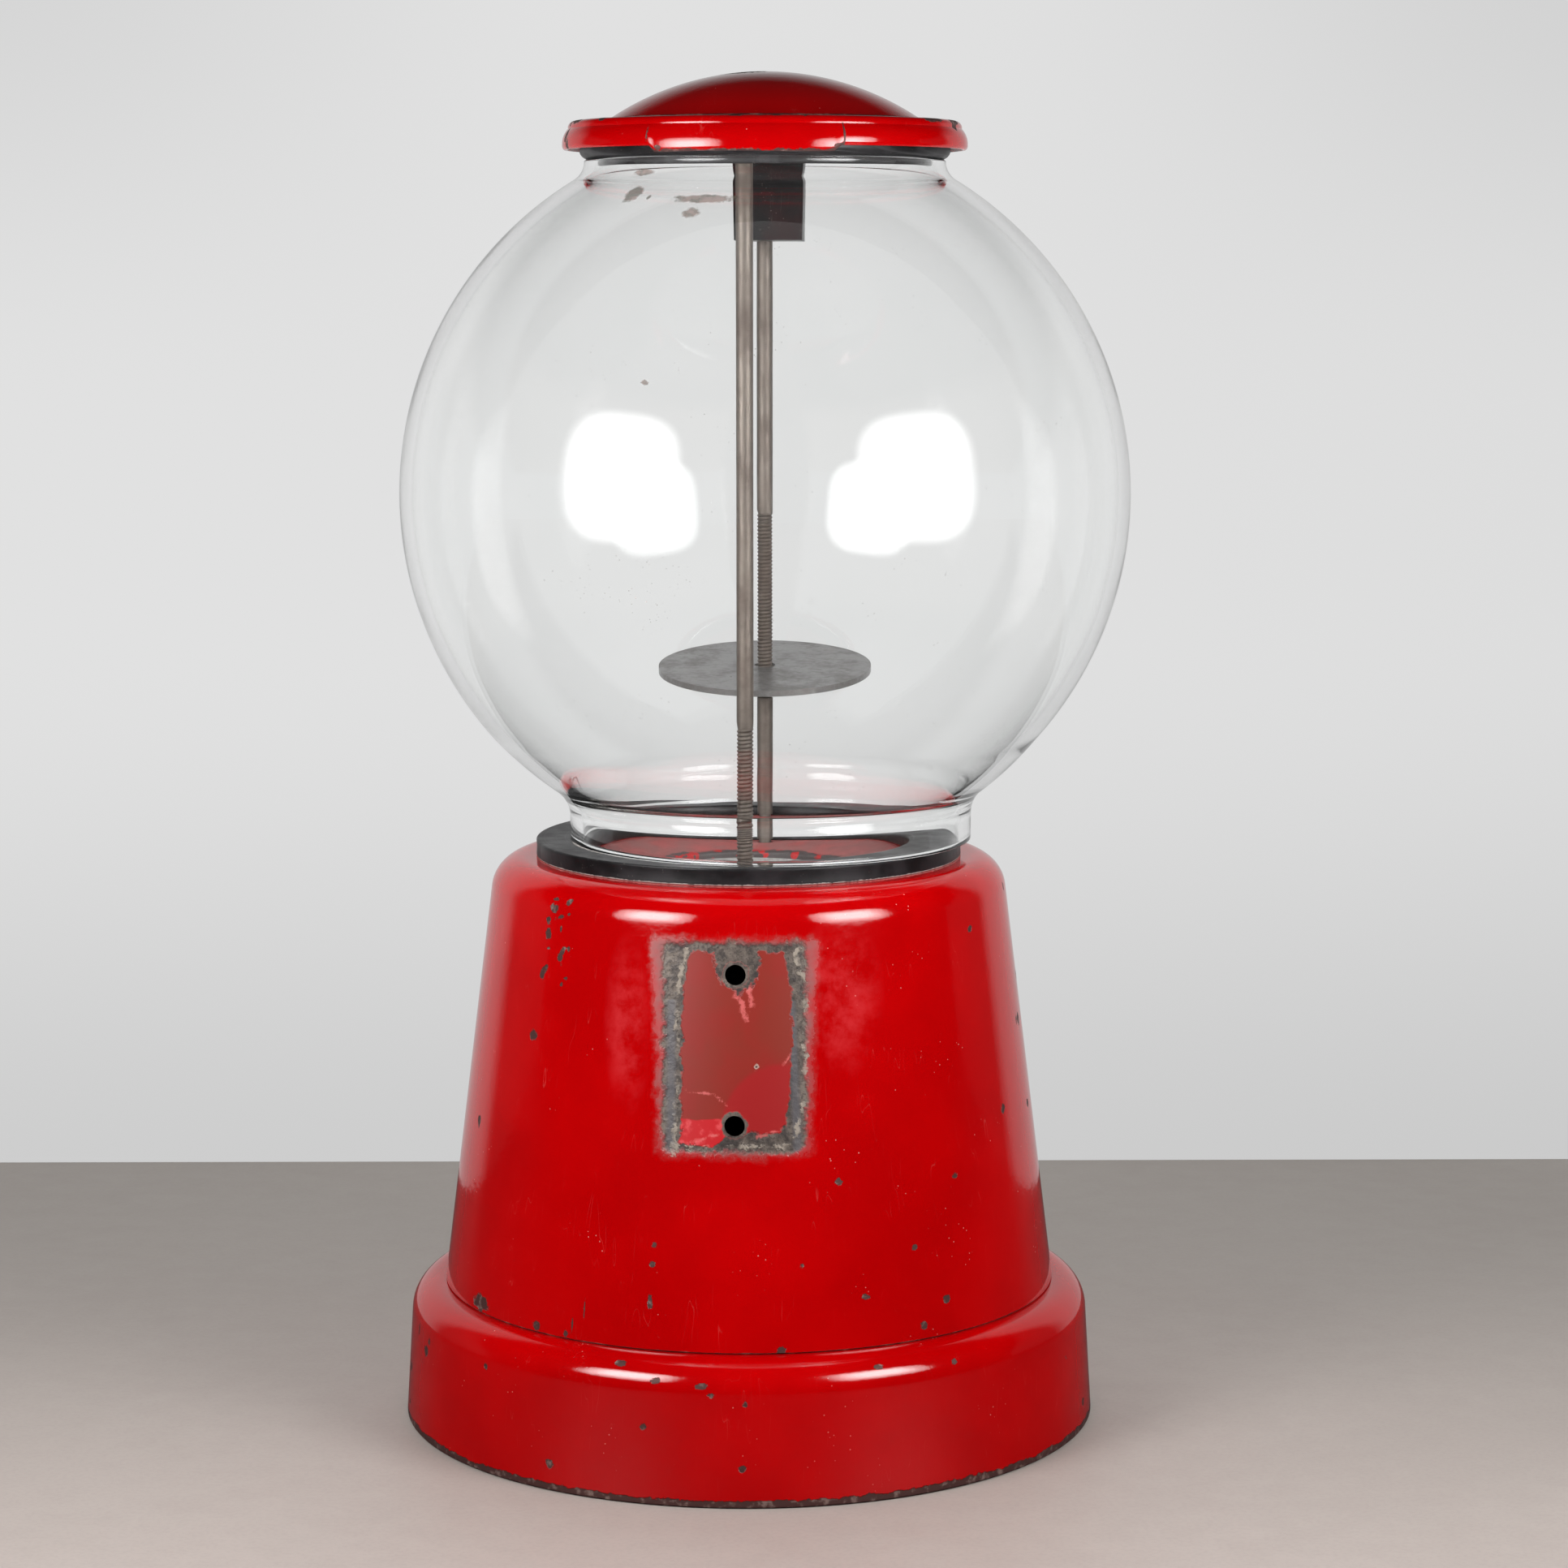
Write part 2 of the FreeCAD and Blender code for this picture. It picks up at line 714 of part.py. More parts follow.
def drop_tube():
    """Tube that leads a ball from the outlet to the trough, open on its lower side."""
    at = polar(POCKET_AT, OUTLET)
    tube = upright(9.8, 97.0, 127.8, at).cut(upright(9.0, 90, 130, at))
    flange = upright(11.6, 126.4, 128.0, at).cut(upright(9.0, 90, 130, at))
    flange = flange.common(upright(28.3, 120, 130)).cut(upright(5.5, 120, 130))
    opening = block((at[0] - 12, at[0] + 12), (at[1] + 1.0, at[1] + 20), (90.0, 112.0))
    return tube.fuse(flange).cut(opening).removeSplitter()


def chute_mouth():
    """Frame on the cone round the chute's opening, with cheeks for the flap's pin."""
    face = block((-20.0, 20.0), (60.0, 92.0), (45.0, 85.0))
    corners = [e for e in face.Edges if e.BoundBox.YLength > 20]
    face = face.makeFillet(4.0, corners)
    face = face.cut(cone())
    face = face.cut(block((-MOUTH_HALF, MOUTH_HALF), (50, 100), MOUTH_Z))
    face = face.cut(block((-MOUTH_HALF, MOUTH_HALF), (86.8, 100), (74.0, 82.6)))
    face = face.cut(along_x(1.25, -18, 18, *FLAP_PIN))
    for x in (-16.0, 16.0):
        face = face.cut(along_y(1.5, 50, 100, x, 64.0))
    return face.removeSplitter()


def chute_flap():
    """Flap that hangs from its pin in front of the mouth."""
    y, z = FLAP_PIN
    plate = block((-12.6, 12.6), (y - 0.6, y + 1.4), (MOUTH_Z[0] + 0.4, z))
    knuckle = along_x(2.6, -12.6, 12.6, y, z)
    lip = block((-7.0, 7.0), (y - 0.6, y + 4.0), (MOUTH_Z[0] + 0.4, MOUTH_Z[0] + 2.2))
    flap = plate.fuse(knuckle).fuse(lip).cut(along_x(1.29, -20, 20, y, z))
    return flap.removeSplitter()


def mouth_screws():
    screws = []
    for x in (-16.0, 16.0):
        screw = along_y(1.5, 82.0, 92.0, x, 64.0).fuse(along_y(2.9, 92.0, 93.4, x, 64.0))
        screws.append(screw.removeSplitter())
    return screws


def wing_nut():
    hub = upright(6.0, 8.0, 16.4)
    wings = block((-16.0, 16.0), (-1.5, 1.5), (6.0, 15.0))
    nut = hub.fuse(wings)
    for x in (-16.0, 16.0):
        nut = nut.fuse(along_y(4.0, -1.5, 1.5, x, 9.0))
    return nut.cut(upright(3.0, 0, 20)).removeSplitter()


def rod_nuts():
    front = hexagon(9.0, 149.0, 154.0, FRONT_ROD).cut(upright(ROD_R, 140, 160, FRONT_ROD))
    rear = hexagon(9.0, 149.0, 154.0, REAR_ROD).cut(upright(1.8, 140, 160, REAR_ROD))
    return front, rear


os.makedirs("parts", exist_ok=True)

save("base_skirt", base_skirt())
save("bottom_plate", bottom_plate())
save("body_shell", body_shell())
gasket = turned(
    outline(
        (GASKET_R[0], BODY_TOP),
        (GASKET_R[1], BODY_TOP),
        (GASKET_R[1], GASKET_TOP),
        (GASKET_R[0], GASKET_TOP),
    )
)
save("globe_gasket", gasket)
save("globe", globe())

save("lid_shell", lid_shell())
save("lid_gasket", lid_gasket())
save("lock_case", lock_case())
barrel, collar = lock_barrel()
save("lock_barrel", barrel)
save("lock_collar", collar)
save("lock_plug", lock_plug())
save("lock_cam", lock_cam())
socket = upright(4.1, 367.0, 384.0, FRONT_ROD).common(lid_dome(LID_SHEET))
save("rod_socket", socket.cut(upright(3.0, 360.0, 376.0, FRONT_ROD)))

save("front_rod", tie_rod(FRONT_ROD, 374.0, ROD_LOW))
save("rear_rod", rear_rod())
save("rod_nuts", *rod_nuts())
save("baffle_disc", baffle_disc())

save("mechanism_frame", frame())
save("wheel_post", wheel_post())
save("floor_plate", floor_plate())
save("floor_spacer", upright(6.5, 130.0, 130.8).cut(upright(4.0, 120, 140)))
save("post_nut", hexagon(11.0, 143.4, 148.4, (0.0, 0.0)).cut(upright(4.0, 140, 147.0)))
save("ball_guard", ball_guard())
save("dispensing_wheel", dispensing_wheel())
save("wheel_gear", wheel_gear())

save("pinion", pinion())
save("spindle", spindle())
bush = along_y(5.0, 52.0, 68.0).cut(along_y(SPINDLE_R + 0.04, 50, 70))
save("spindle_bush", bush)
save("coin_wheel", coin_wheel())
save("coin_head", coin_head())
save("coin_bracket", coin_bracket())
save("coin_deflector", coin_deflector())
save("head_screws", *head_screws())
save("head_nuts", *head_nuts())
save("handle", handle())
save("handle_nut", handle_nut())

save("chute", chute())
save("drop_tube", drop_tube())
save("chute_mouth", chute_mouth())
save("chute_flap", chute_flap())
save("flap_pin", along_x(1.25, -18.0, 18.0, *FLAP_PIN))
save("mouth_screws", *mouth_screws())

save("centre_stud", upright(3.0, 7.0, 98.0))
save("wing_nut", wing_nut())
save("stud_washer", upright(9.0, 16.4, 18.0).cut(upright(3.0, 0, 30)))
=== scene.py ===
"""Ball vending machine dressed for its picture: worn red enamel stand and lid, glass globe,
rubber rings, tie rods and disc. Metres, +Z up; the side with the bare pad faces -Y.
"""
import json
import math

import bmesh
import bpy
import numpy as np
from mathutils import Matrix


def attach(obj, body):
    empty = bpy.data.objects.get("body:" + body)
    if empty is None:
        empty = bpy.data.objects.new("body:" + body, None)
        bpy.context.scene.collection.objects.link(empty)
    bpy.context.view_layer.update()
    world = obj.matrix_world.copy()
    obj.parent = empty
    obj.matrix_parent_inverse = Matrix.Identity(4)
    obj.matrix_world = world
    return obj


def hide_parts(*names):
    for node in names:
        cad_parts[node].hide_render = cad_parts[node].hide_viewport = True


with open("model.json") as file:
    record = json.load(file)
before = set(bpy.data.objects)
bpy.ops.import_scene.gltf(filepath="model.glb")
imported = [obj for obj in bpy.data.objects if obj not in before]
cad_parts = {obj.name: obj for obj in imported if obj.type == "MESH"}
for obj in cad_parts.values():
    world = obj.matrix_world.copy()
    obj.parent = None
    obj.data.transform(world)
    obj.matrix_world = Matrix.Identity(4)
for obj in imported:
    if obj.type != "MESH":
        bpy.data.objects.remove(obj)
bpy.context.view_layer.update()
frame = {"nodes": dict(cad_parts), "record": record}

MM = 0.001
SAME_POINT = 0.000001
RNG = np.random.default_rng(41)

# sizes, mm
BASE_R, BASE_TOP, BASE_LEAN, BASE_ROUND = 101.6, 39.7, 0.062, 9.0
BODY_R, BODY_TOP, BODY_LEAN, BODY_ROUND = 89.75, 165.3, 0.1256, 10.0
SHEET = 1.8
DISH_R, THROAT_R, THROAT_TOP = 46.0, 30.0, 161.0
SHIFT = 4.9
GASKET_IN, GASKET_OUT, GASKET_TOP = 47.0, 62.0, 170.2
GLOBE_R, GLOBE_Z, GLASS = 105.3, 269.8, 3.6
FOOT_R, FOOT_ROUND, NECK_R, NECK_ROUND, NECK_TOP = 58.5, 10.0, 51.7, 6.0, 365.5
LID_LOW_R, LID_LOW, LID_RIM_R, LID_RIM = 57.9, 368.2, 56.2, 376.3
DOME_R, DOME_TOP, LID_SHEET = 80.0, 390.4, 1.5
ROD_R = 2.38
FRONT_ROD, REAR_ROD = (1.0, -40.0), (3.0, 40.0)
PAD_Z = (102.0, 143.1)
PAD_HOLE_R = 2.85
COIN_Z, COIN_HOLE_R = 116.0, 23.2
SCREW_HOLES = ((-27.0, 1.8, COIN_Z), (27.0, 1.8, COIN_Z), (-16.0, 1.5, 64.0), (16.0, 1.5, 64.0))
MOUTH_LOW, MOUTH_HIGH = (-13.0, 60.0, 50.0), (13.0, 100.0, 75.0)
LOCK_Y, LOCK_R = 29.0, 8.0
ROD_FOOT, THREAD_PITCH, THREAD_DEPTH = 145.0, 1.1, 0.42
PULL, PULL_IN = 1.7, 0.25
NOWHERE = -3.0


# outlines
def run(a, b, step):
    """Points on the straight line from a up to but not including b, about step apart."""
    n = max(1, int(math.ceil(math.dist(a, b) / step)))
    t = np.arange(n)[:, None] / n
    return np.array(a) * (1 - t) + np.array(b) * t


def bow(a, mid, b, n):
    """n points on the arc from a through mid, up to but not including b: the circle round the
    point that is equally far from all three."""
    (ax, ay), (mx, my), (bx, by) = a, mid, b
    d = 2 * (ax * (my - by) + mx * (by - ay) + bx * (ay - my))
    sa, sm, sb = ax * ax + ay * ay, mx * mx + my * my, bx * bx + by * by
    cx = (sa * (my - by) + sm * (by - ay) + sb * (ay - my)) / d
    cy = (sa * (bx - mx) + sm * (ax - bx) + sb * (mx - ax)) / d
    t0, tm, t1 = (math.atan2(p[1] - cy, p[0] - cx) for p in (a, mid, b))
    full = (t1 - t0) % (2 * math.pi)
    if (tm - t0) % (2 * math.pi) > full:
        full -= 2 * math.pi
    t = t0 + full * np.arange(n) / n
    r = math.dist(a, (cx, cy))
    return np.column_stack((cx + r * np.cos(t), cy + r * np.sin(t)))


def outline(start, *steps):
    """Closed outline in (r, z): a step is (end point, spacing), or (middle, end, count) of an arc."""
    here, parts = start, []
    for step in steps:
        if len(step) == 2:
            parts.append(run(here, step[0], step[1]))
            here = step[0]
        else:
            parts.append(bow(here, step[0], step[1], step[2]))
            here = step[1]
    parts.append(run(here, start, 4.0))
    return np.concatenate(parts)


def shoulder(r_low, z_low, lean, top, radius):
    """Arc between a leaning side and a flat top: its start, middle and end."""
    tilt = math.atan(lean)
    zc = top - radius
    rc = r_low - lean * (zc - z_low) - radius / math.cos(tilt)
    angles = (tilt, (tilt + math.pi / 2) / 2, math.pi / 2)
    return [(rc + radius * math.cos(a), zc + radius * math.sin(a)) for a in angles]


# surfaces
def spokes(count, crowd=0.0):
    """count directions round the axis; the -Y side has them closer by 1 - crowd."""
    t = np.arange(count) * 2 * math.pi / count
    return t - crowd * np.sin(t + math.pi / 2)


def skin(name, grid, close_rows=True):
    """Mesh of a grid of points (rows, spokes, 3) in mm: quads between neighbours, closed round the
    axis and, where close_rows is set, from the last row to the first; turned to face outwards."""
    rows, cols = grid.shape[:2]
    index = np.arange(rows * cols).reshape(rows, cols)
    a = index if close_rows else index[:-1]
    b = np.roll(index, -1, 0) if close_rows else index[1:]
    quads = np.stack((a, np.roll(a, -1, 1), np.roll(b, -1, 1), b), -1).reshape(-1, 4)
    points = grid.reshape(-1, 3) * MM
    p, q, r, s = (points[quads[:, k]] for k in range(4))
    volume = np.einsum("ij,ij->i", p, np.cross(q, r)).sum()
    volume += np.einsum("ij,ij->i", p, np.cross(r, s)).sum()
    if volume < 0:
        quads = quads[:, ::-1]
    mesh = bpy.data.meshes.new(name)
    mesh.vertices.add(len(points))
    mesh.vertices.foreach_set("co", points.ravel())
    mesh.loops.add(quads.size)
    mesh.loops.foreach_set("vertex_index", np.ascontiguousarray(quads).ravel().astype(np.int32))
    mesh.polygons.add(len(quads))
    mesh.polygons.foreach_set("loop_start", np.arange(0, quads.size, 4, dtype=np.int32))
    mesh.update(calc_edges=True)
    piece = bpy.data.objects.new(name, mesh)
    bpy.context.scene.collection.objects.link(piece)
    return piece


def turned(name, rz, turns, at=(0.0, 0.0), close_rows=True, shape=None):
    """Surface of revolution: point (r cos t + x0, r sin t + y0, z) for each outline point and each
    direction t in turns. shape(r, z, t) may move r and z by direction."""
    r = np.repeat(rz[:, :1], len(turns), 1)
    z = np.repeat(rz[:, 1:], len(turns), 1)
    t = np.repeat(turns[None, :], len(rz), 0)
    if shape:
        r, z = shape(r, z, t)
    return skin(name, np.stack((at[0] + r * np.cos(t), at[1] + r * np.sin(t), z), -1), close_rows)


def merge(piece, gap):
    """Join points that fall together, such as those at an axis, and drop faces without area."""
    bm = bmesh.new()
    bm.from_mesh(piece.data)
    bmesh.ops.remove_doubles(bm, verts=bm.verts, dist=gap)
    bmesh.ops.dissolve_degenerate(bm, edges=bm.edges, dist=gap / 2)
    bm.to_mesh(piece.data)
    bm.free()


def soften(piece, degrees=32.0):
    """Smooth shading, with edges sharper than the angle kept crisp."""
    piece.data.polygons.foreach_set("use_smooth", np.ones(len(piece.data.polygons), dtype=bool))
    piece.data.set_sharp_from_angle(angle=math.radians(degrees))
    piece.data.update()


def points_of(piece):
    """The piece's points as an array in mm."""
    co = np.empty(len(piece.data.vertices) * 3, dtype=np.float32)
    piece.data.vertices.foreach_get("co", co)
    return co.reshape(-1, 3) / MM


def paint(piece, name, values):
    """Keep one number per point on the piece, for its material."""
    layer = piece.data.attributes.new(name, "FLOAT", "POINT")
    layer.data.foreach_set("value", np.asarray(values, dtype=np.float32))


def plug_mesh(name, centre, direction, radius, length, count=40):
    """Closed round bar through a wall, for cutting a hole: circle carried along direction."""
    d = np.array(direction) / np.linalg.norm(direction)
    u = np.cross(d, (0.31, 0.55, 0.77))
    u = u / np.linalg.norm(u)
    v = np.cross(d, u)
    t = np.arange(count) * 2 * math.pi / count
    ring = np.outer(np.cos(t), u) + np.outer(np.sin(t), v)
    hub = 1e-4
    reach = np.array([[hub, -0.5], [radius, -0.5], [radius, 0.5], [hub, 0.5]])
    grid = np.array(centre) + reach[:, None, :1] * ring[None] + reach[:, None, 1:] * length * d
    piece = skin(name, grid, close_rows=False)
    merge(piece, SAME_POINT)
    return piece


def block_mesh(name, low, high):
    """Closed box, for cutting a square opening: four corners carried upwards."""
    (x0, y0, z0), (x1, y1, z1) = low, high
    xm, ym = (x0 + x1) / 2, (y0 + y1) / 2
    ring = np.array([(x0, y0), (x1, y0), (x1, y1), (x0, y1)])
    middle = np.tile((xm, ym), (4, 1))
    rows = [np.column_stack((p, np.full(4, z))) for p, z in
            ((middle, z0), (ring, z0), (ring, z1), (middle, z1))]
    piece = skin(name, np.stack(rows), close_rows=False)
    merge(piece, SAME_POINT)
    return piece


def pierce(piece, cutters):
    """Cut holes through a piece and drop the cutters."""
    for cutter in cutters:
        cut = piece.modifiers.new("hole", "BOOLEAN")
        cut.operation, cut.solver, cut.object = "DIFFERENCE", "EXACT", cutter
    graph = bpy.context.evaluated_depsgraph_get()
    done = bpy.data.meshes.new_from_object(piece.evaluated_get(graph))
    piece.modifiers.clear()
    piece.data = done
    for cutter in cutters:
        bpy.data.objects.remove(cutter, do_unlink=True)


def chip_field(points, chips, lean_from):
    """For each point the largest of 1 - d over all chips, where d is the distance from the chip's
    middle in half widths (round the axis) and half heights: 1 in a middle, 0 at an edge."""
    bearing = np.degrees(np.arctan2(points[:, 0] - lean_from, -points[:, 1]))
    radius = np.hypot(points[:, 0] - lean_from, points[:, 1])
    best = np.full(len(points), NOWHERE)
    for turn, z, half_w, half_h in chips:
        off = (bearing - turn + 180.0) % 360.0 - 180.0
        d = np.hypot(np.radians(off) * radius / half_w, (points[:, 2] - z) / half_h)
        best = np.maximum(best, 1.0 - d)
    return best


def scattered(count, turn, z, half):
    """Chips at seeded random places: (bearing, height, half width, half height)."""
    lows = (turn[0], z[0], half[0], half[0])
    highs = (turn[1], z[1], half[1], half[1])
    return [tuple(row) for row in RNG.uniform(lows, highs, (count, 4))]


# materials
class Finish:
    """Short hand for building one node tree."""

    def __init__(self, tree):
        self.tree = tree

    def add(self, kind, inputs=None, **settings):
        """New node with its settings, and its inputs set or linked."""
        node = self.tree.nodes.new(kind)
        for key, value in settings.items():
            setattr(node, key, value)
        self.fill(node, inputs or {})
        return node

    def fill(self, node, inputs):
        """Set or link several inputs of a node."""
        for key, value in inputs.items():
            self.feed(node.inputs[key], value)

    def feed(self, socket, value):
        """Link an output to the socket, or set the socket to a constant."""
        if isinstance(value, bpy.types.NodeSocket):
            self.tree.links.new(value, socket)
        else:
            socket.default_value = value

    def sums(self, kind, a, b=0.0, clamp=False):
        """Math node."""
        return self.add("ShaderNodeMath", {0: a, 1: b}, operation=kind, use_clamp=clamp).outputs[0]

    def times(self, a, b):
        """a x b."""
        return self.sums("MULTIPLY", a, b)

    def plus(self, a, b):
        """a + b."""
        return self.sums("ADD", a, b)

    def minus(self, a, b, clamp=False):
        """a - b, not below 0 where clamp is set."""
        return self.sums("SUBTRACT", a, b, clamp)

    def blend(self, fac, a, b):
        """Colour a at fac 0, colour b at fac 1."""
        return self.add("ShaderNodeMix", {0: fac, 6: a, 7: b}, data_type="RGBA").outputs[2]

    def mixed(self, fac, a, b):
        """Number a at fac 0, number b at fac 1."""
        return self.add("ShaderNodeMix", {0: fac, 2: a, 3: b}, data_type="FLOAT").outputs[0]

    def ramp(self, value, low, high, to_low=0.0, to_high=1.0):
        """Smooth step from to_low at low to to_high at high."""
        node = self.add("ShaderNodeMapRange", {"Value": value, "From Min": low, "From Max": high,
                                               "To Min": to_low, "To Max": to_high},
                        interpolation_type="SMOOTHSTEP")
        return node.outputs[0]

    def where(self):
        """Object coordinates."""
        return self.add("ShaderNodeTexCoord").outputs["Object"]

    def noise(self, scale, detail=3.0, at=None, rough=0.55, stretch=None):
        """Cloudy noise, 0 to 1, stretched along the axes where asked."""
        at = at or self.where()
        if stretch:
            at = self.add("ShaderNodeMapping", {"Vector": at, "Scale": stretch}).outputs[0]
        node = self.add("ShaderNodeTexNoise", {"Vector": at, "Scale": scale, "Detail": detail,
                                               "Roughness": rough})
        return node.outputs[0]

    def cells(self, scale):
        """Distance to the nearest of scattered points."""
        node = self.add("ShaderNodeTexVoronoi", {"Vector": self.where(), "Scale": scale})
        return node.outputs["Distance"]

    def value_of(self, name):
        """The number that paint() kept on the piece."""
        return self.add("ShaderNodeAttribute", attribute_name=name).outputs["Fac"]

    def bump(self, height, strength, distance):
        """Normal of a surface with small relief."""
        return self.add("ShaderNodeBump", {"Height": height, "Strength": strength,
                                           "Distance": distance}).outputs[0]

    def use(self, group, **inputs):
        """Outputs of a shared group with these inputs."""
        node = self.add("ShaderNodeGroup", node_tree=group)
        self.fill(node, inputs)
        return node.outputs


def rgb(r, g, b):
    """A colour from 0-255 screen values, as linear light."""
    def lin(c):
        c /= 255.0
        return c / 12.92 if c <= 0.04045 else ((c + 0.055) / 1.055) ** 2.4
    return (lin(r), lin(g), lin(b), 1.0)


def new_group(name, ins, outs):
    """Empty shader group with named inputs (kind, default) and outputs."""
    group = bpy.data.node_groups.new(name, "ShaderNodeTree")
    for label, (kind, default) in ins.items():
        socket = group.interface.new_socket(label, in_out="INPUT", socket_type=kind)
        socket.default_value = default
    for label, kind in outs.items():
        group.interface.new_socket(label, in_out="OUTPUT", socket_type=kind)
    finish = Finish(group)
    inp = finish.add("NodeGroupInput").outputs
    out = finish.add("NodeGroupOutput").inputs
    return group, finish, inp, out


def new_finish(name):
    """Empty material with a Principled shader."""
    material = bpy.data.materials.new(name)
    material.use_nodes = True
    tree = material.node_tree
    tree.nodes.clear()
    f = Finish(tree)
    shader = f.add("ShaderNodeBsdfPrincipled")
    end = f.add("ShaderNodeOutputMaterial")
    tree.links.new(shader.outputs[0], end.inputs["Surface"])
    return material, f, shader, end


FLOAT, COLOUR = "NodeSocketFloat", "NodeSocketColor"


def ragged_group():
    """Turns a field that is 0 at an edge into a mask with a torn edge: the field is shifted by two
    noises, then cut; Rim is the thin line round the mask."""
    group, f, inp, out = new_group(
        "ragged_edge",
        {"Field": (FLOAT, 0.0), "Tear": (FLOAT, 0.6), "Grain": (FLOAT, 700.0), "Soft": (FLOAT, 0.1)},
        {"Mask": FLOAT, "Rim": FLOAT})
    coarse = f.noise(inp["Grain"], 2.0)
    fine = f.noise(f.times(inp["Grain"], 4.3), 2.0)
    both = f.plus(f.times(coarse, 0.7), f.times(fine, 0.3))
    shift = f.times(f.minus(both, 0.5), f.times(inp["Tear"], 2.0))
    field = f.plus(inp["Field"], shift)
    mask = f.ramp(field, 0.0, inp["Soft"])
    wide = f.ramp(f.plus(field, 0.16), 0.0, inp["Soft"])
    f.feed(out["Mask"], mask)
    f.feed(out["Rim"], f.minus(wide, mask, True))
    return group


def scuff_group():
    """Fine marks of use: hairline scratches (thin bands of stretched noise in two directions),
    a sprinkle of specks, and a slow cloudiness."""
    group, f, inp, out = new_group(
        "scuffs", {"Amount": (FLOAT, 1.0)},
        {"Scratches": FLOAT, "Specks": FLOAT, "Cloud": FLOAT})
    lines = []
    for turn, scale in ((0.5, 70.0), (-0.9, 95.0)):
        at = f.add("ShaderNodeMapping", {"Vector": f.where(), "Rotation": (0.2, turn, 0.3),
                                         "Scale": (1.0, 1.0, 0.06)}).outputs[0]
        band = f.sums("ABSOLUTE", f.minus(f.noise(scale * 3, 1.0, at), 0.5))
        thin = f.ramp(band, 0.0, 0.004, 1.0, 0.0)
        gate = f.ramp(f.noise(scale, 2.0), 0.56, 0.66)
        lines.append(f.times(thin, gate))
    both = f.sums("MAXIMUM", lines[0], lines[1])
    f.feed(out["Scratches"], f.times(both, inp["Amount"]))
    spots = f.ramp(f.cells(520.0), 0.05, 0.13, 1.0, 0.0)
    gate = f.ramp(f.noise(60.0, 3.0), 0.56, 0.66)
    f.feed(out["Specks"], f.times(f.times(spots, gate), inp["Amount"]))
    f.feed(out["Cloud"], f.noise(24.0, 4.0))
    return group


def tarnish_group():
    """Old metal: a colour that drifts between a clean and a dull state, with pits; Dulled says how far."""
    group, f, inp, out = new_group(
        "tarnish",
        {"Clean": (COLOUR, (0.5, 0.5, 0.5, 1)), "Dull": (COLOUR, (0.2, 0.17, 0.15, 1)),
         "Scale": (FLOAT, 90.0), "Share": (FLOAT, 0.5)},
        {"Colour": COLOUR, "Height": FLOAT, "Dulled": FLOAT})
    drift = f.noise(inp["Scale"], 6.0, rough=0.65)
    grains = f.noise(f.times(inp["Scale"], 9.0), 3.0)
    level = f.plus(f.times(drift, 0.75), f.times(grains, 0.25))
    edge = f.minus(1.0, inp["Share"])
    dulled = f.ramp(f.minus(level, f.times(edge, 0.5)), 0.1, 0.4)
    f.feed(out["Colour"], f.blend(dulled, inp["Clean"], inp["Dull"]))
    f.feed(out["Height"], f.minus(grains, f.times(dulled, 0.4)))
    f.feed(out["Dulled"], dulled)
    return group


RAGGED = ragged_group()
SCUFFS = scuff_group()
TARNISH = tarnish_group()

ENAMEL = rgb(167, 0, 2)
ENAMEL_DEEP = rgb(155, 0, 2)
BARE_DARK = rgb(78, 48, 45)
BARE_PALE = rgb(138, 112, 105)


def enamel(name, seam=None, extra=None, bare_edge=None):
    """Gloss red stoved enamel with chips down to dark metal, hairlines, specks and dust.

    seam is (height, half width) of a joint dark with grime and painted shade, bare_edge a height below
    which the paint has worn off. extra(f, colour, rough, metal, height) may add a feature of one piece."""
    material, f, shader, _ = new_finish(name)
    scuffs = f.use(SCUFFS, Amount=1.0)
    cloud = f.ramp(scuffs["Cloud"], 0.35, 0.7)
    colour = f.blend(cloud, ENAMEL_DEEP, ENAMEL)
    scratch = f.times(scuffs["Scratches"], 0.12)
    colour = f.blend(scratch, colour, rgb(214, 110, 104))
    colour = f.blend(f.times(scuffs["Specks"], 0.75), colour, rgb(196, 120, 112))
    rough = f.ramp(scuffs["Cloud"], 0.3, 0.8, 0.06, 0.11)
    rough = f.mixed(scuffs["Specks"], rough, 0.6)
    peel = f.noise(330.0, 2.0)
    height = f.times(peel, 0.12)

    up = f.add("ShaderNodeSeparateXYZ", {0: f.where()}).outputs[2]
    torn = f.use(RAGGED, Field=f.value_of("chip"), Tear=0.9, Grain=460.0, Soft=0.1)
    bare, rim = torn["Mask"], torn["Rim"]
    if bare_edge:
        field = f.times(f.minus(bare_edge, up), 700.0)
        edge = f.use(RAGGED, Field=field, Tear=1.1, Grain=260.0, Soft=0.25)
        bare = f.sums("MAXIMUM", bare, edge["Mask"])
    iron = f.blend(f.ramp(f.noise(420.0, 4.0), 0.52, 0.72), BARE_DARK, BARE_PALE)
    colour = f.blend(f.times(rim, 0.6), colour, rgb(120, 30, 28))
    colour = f.blend(bare, colour, iron)
    rough = f.mixed(bare, rough, 0.55)
    metal = f.times(bare, 0.5)
    height = f.minus(height, bare)

    # Dark band along the joint: grime, and painted shade where the gap lies in shadow.
    if seam:
        z, half = seam
        off = f.sums("ABSOLUTE", f.minus(up, z))
        near = f.minus(1.0, f.sums("DIVIDE", off, half))
        grime_and_shade = f.use(RAGGED, Field=near, Tear=0.7, Grain=330.0, Soft=0.5)["Mask"]
        soil_and_shade = f.blend(f.ramp(f.noise(240.0, 4.0), 0.5, 0.68), rgb(48, 16, 14), rgb(120, 88, 78))
        colour = f.blend(f.times(grime_and_shade, 0.85), colour, soil_and_shade)
        rough = f.mixed(grime_and_shade, rough, 0.75)
    if extra:
        colour, rough, metal, height = extra(f, colour, rough, metal, height)
    f.fill(shader, {"Base Color": colour, "Roughness": rough, "Metallic": metal, "IOR": 1.5,
                    "Normal": f.bump(height, 0.55, 0.0004)})
    return material


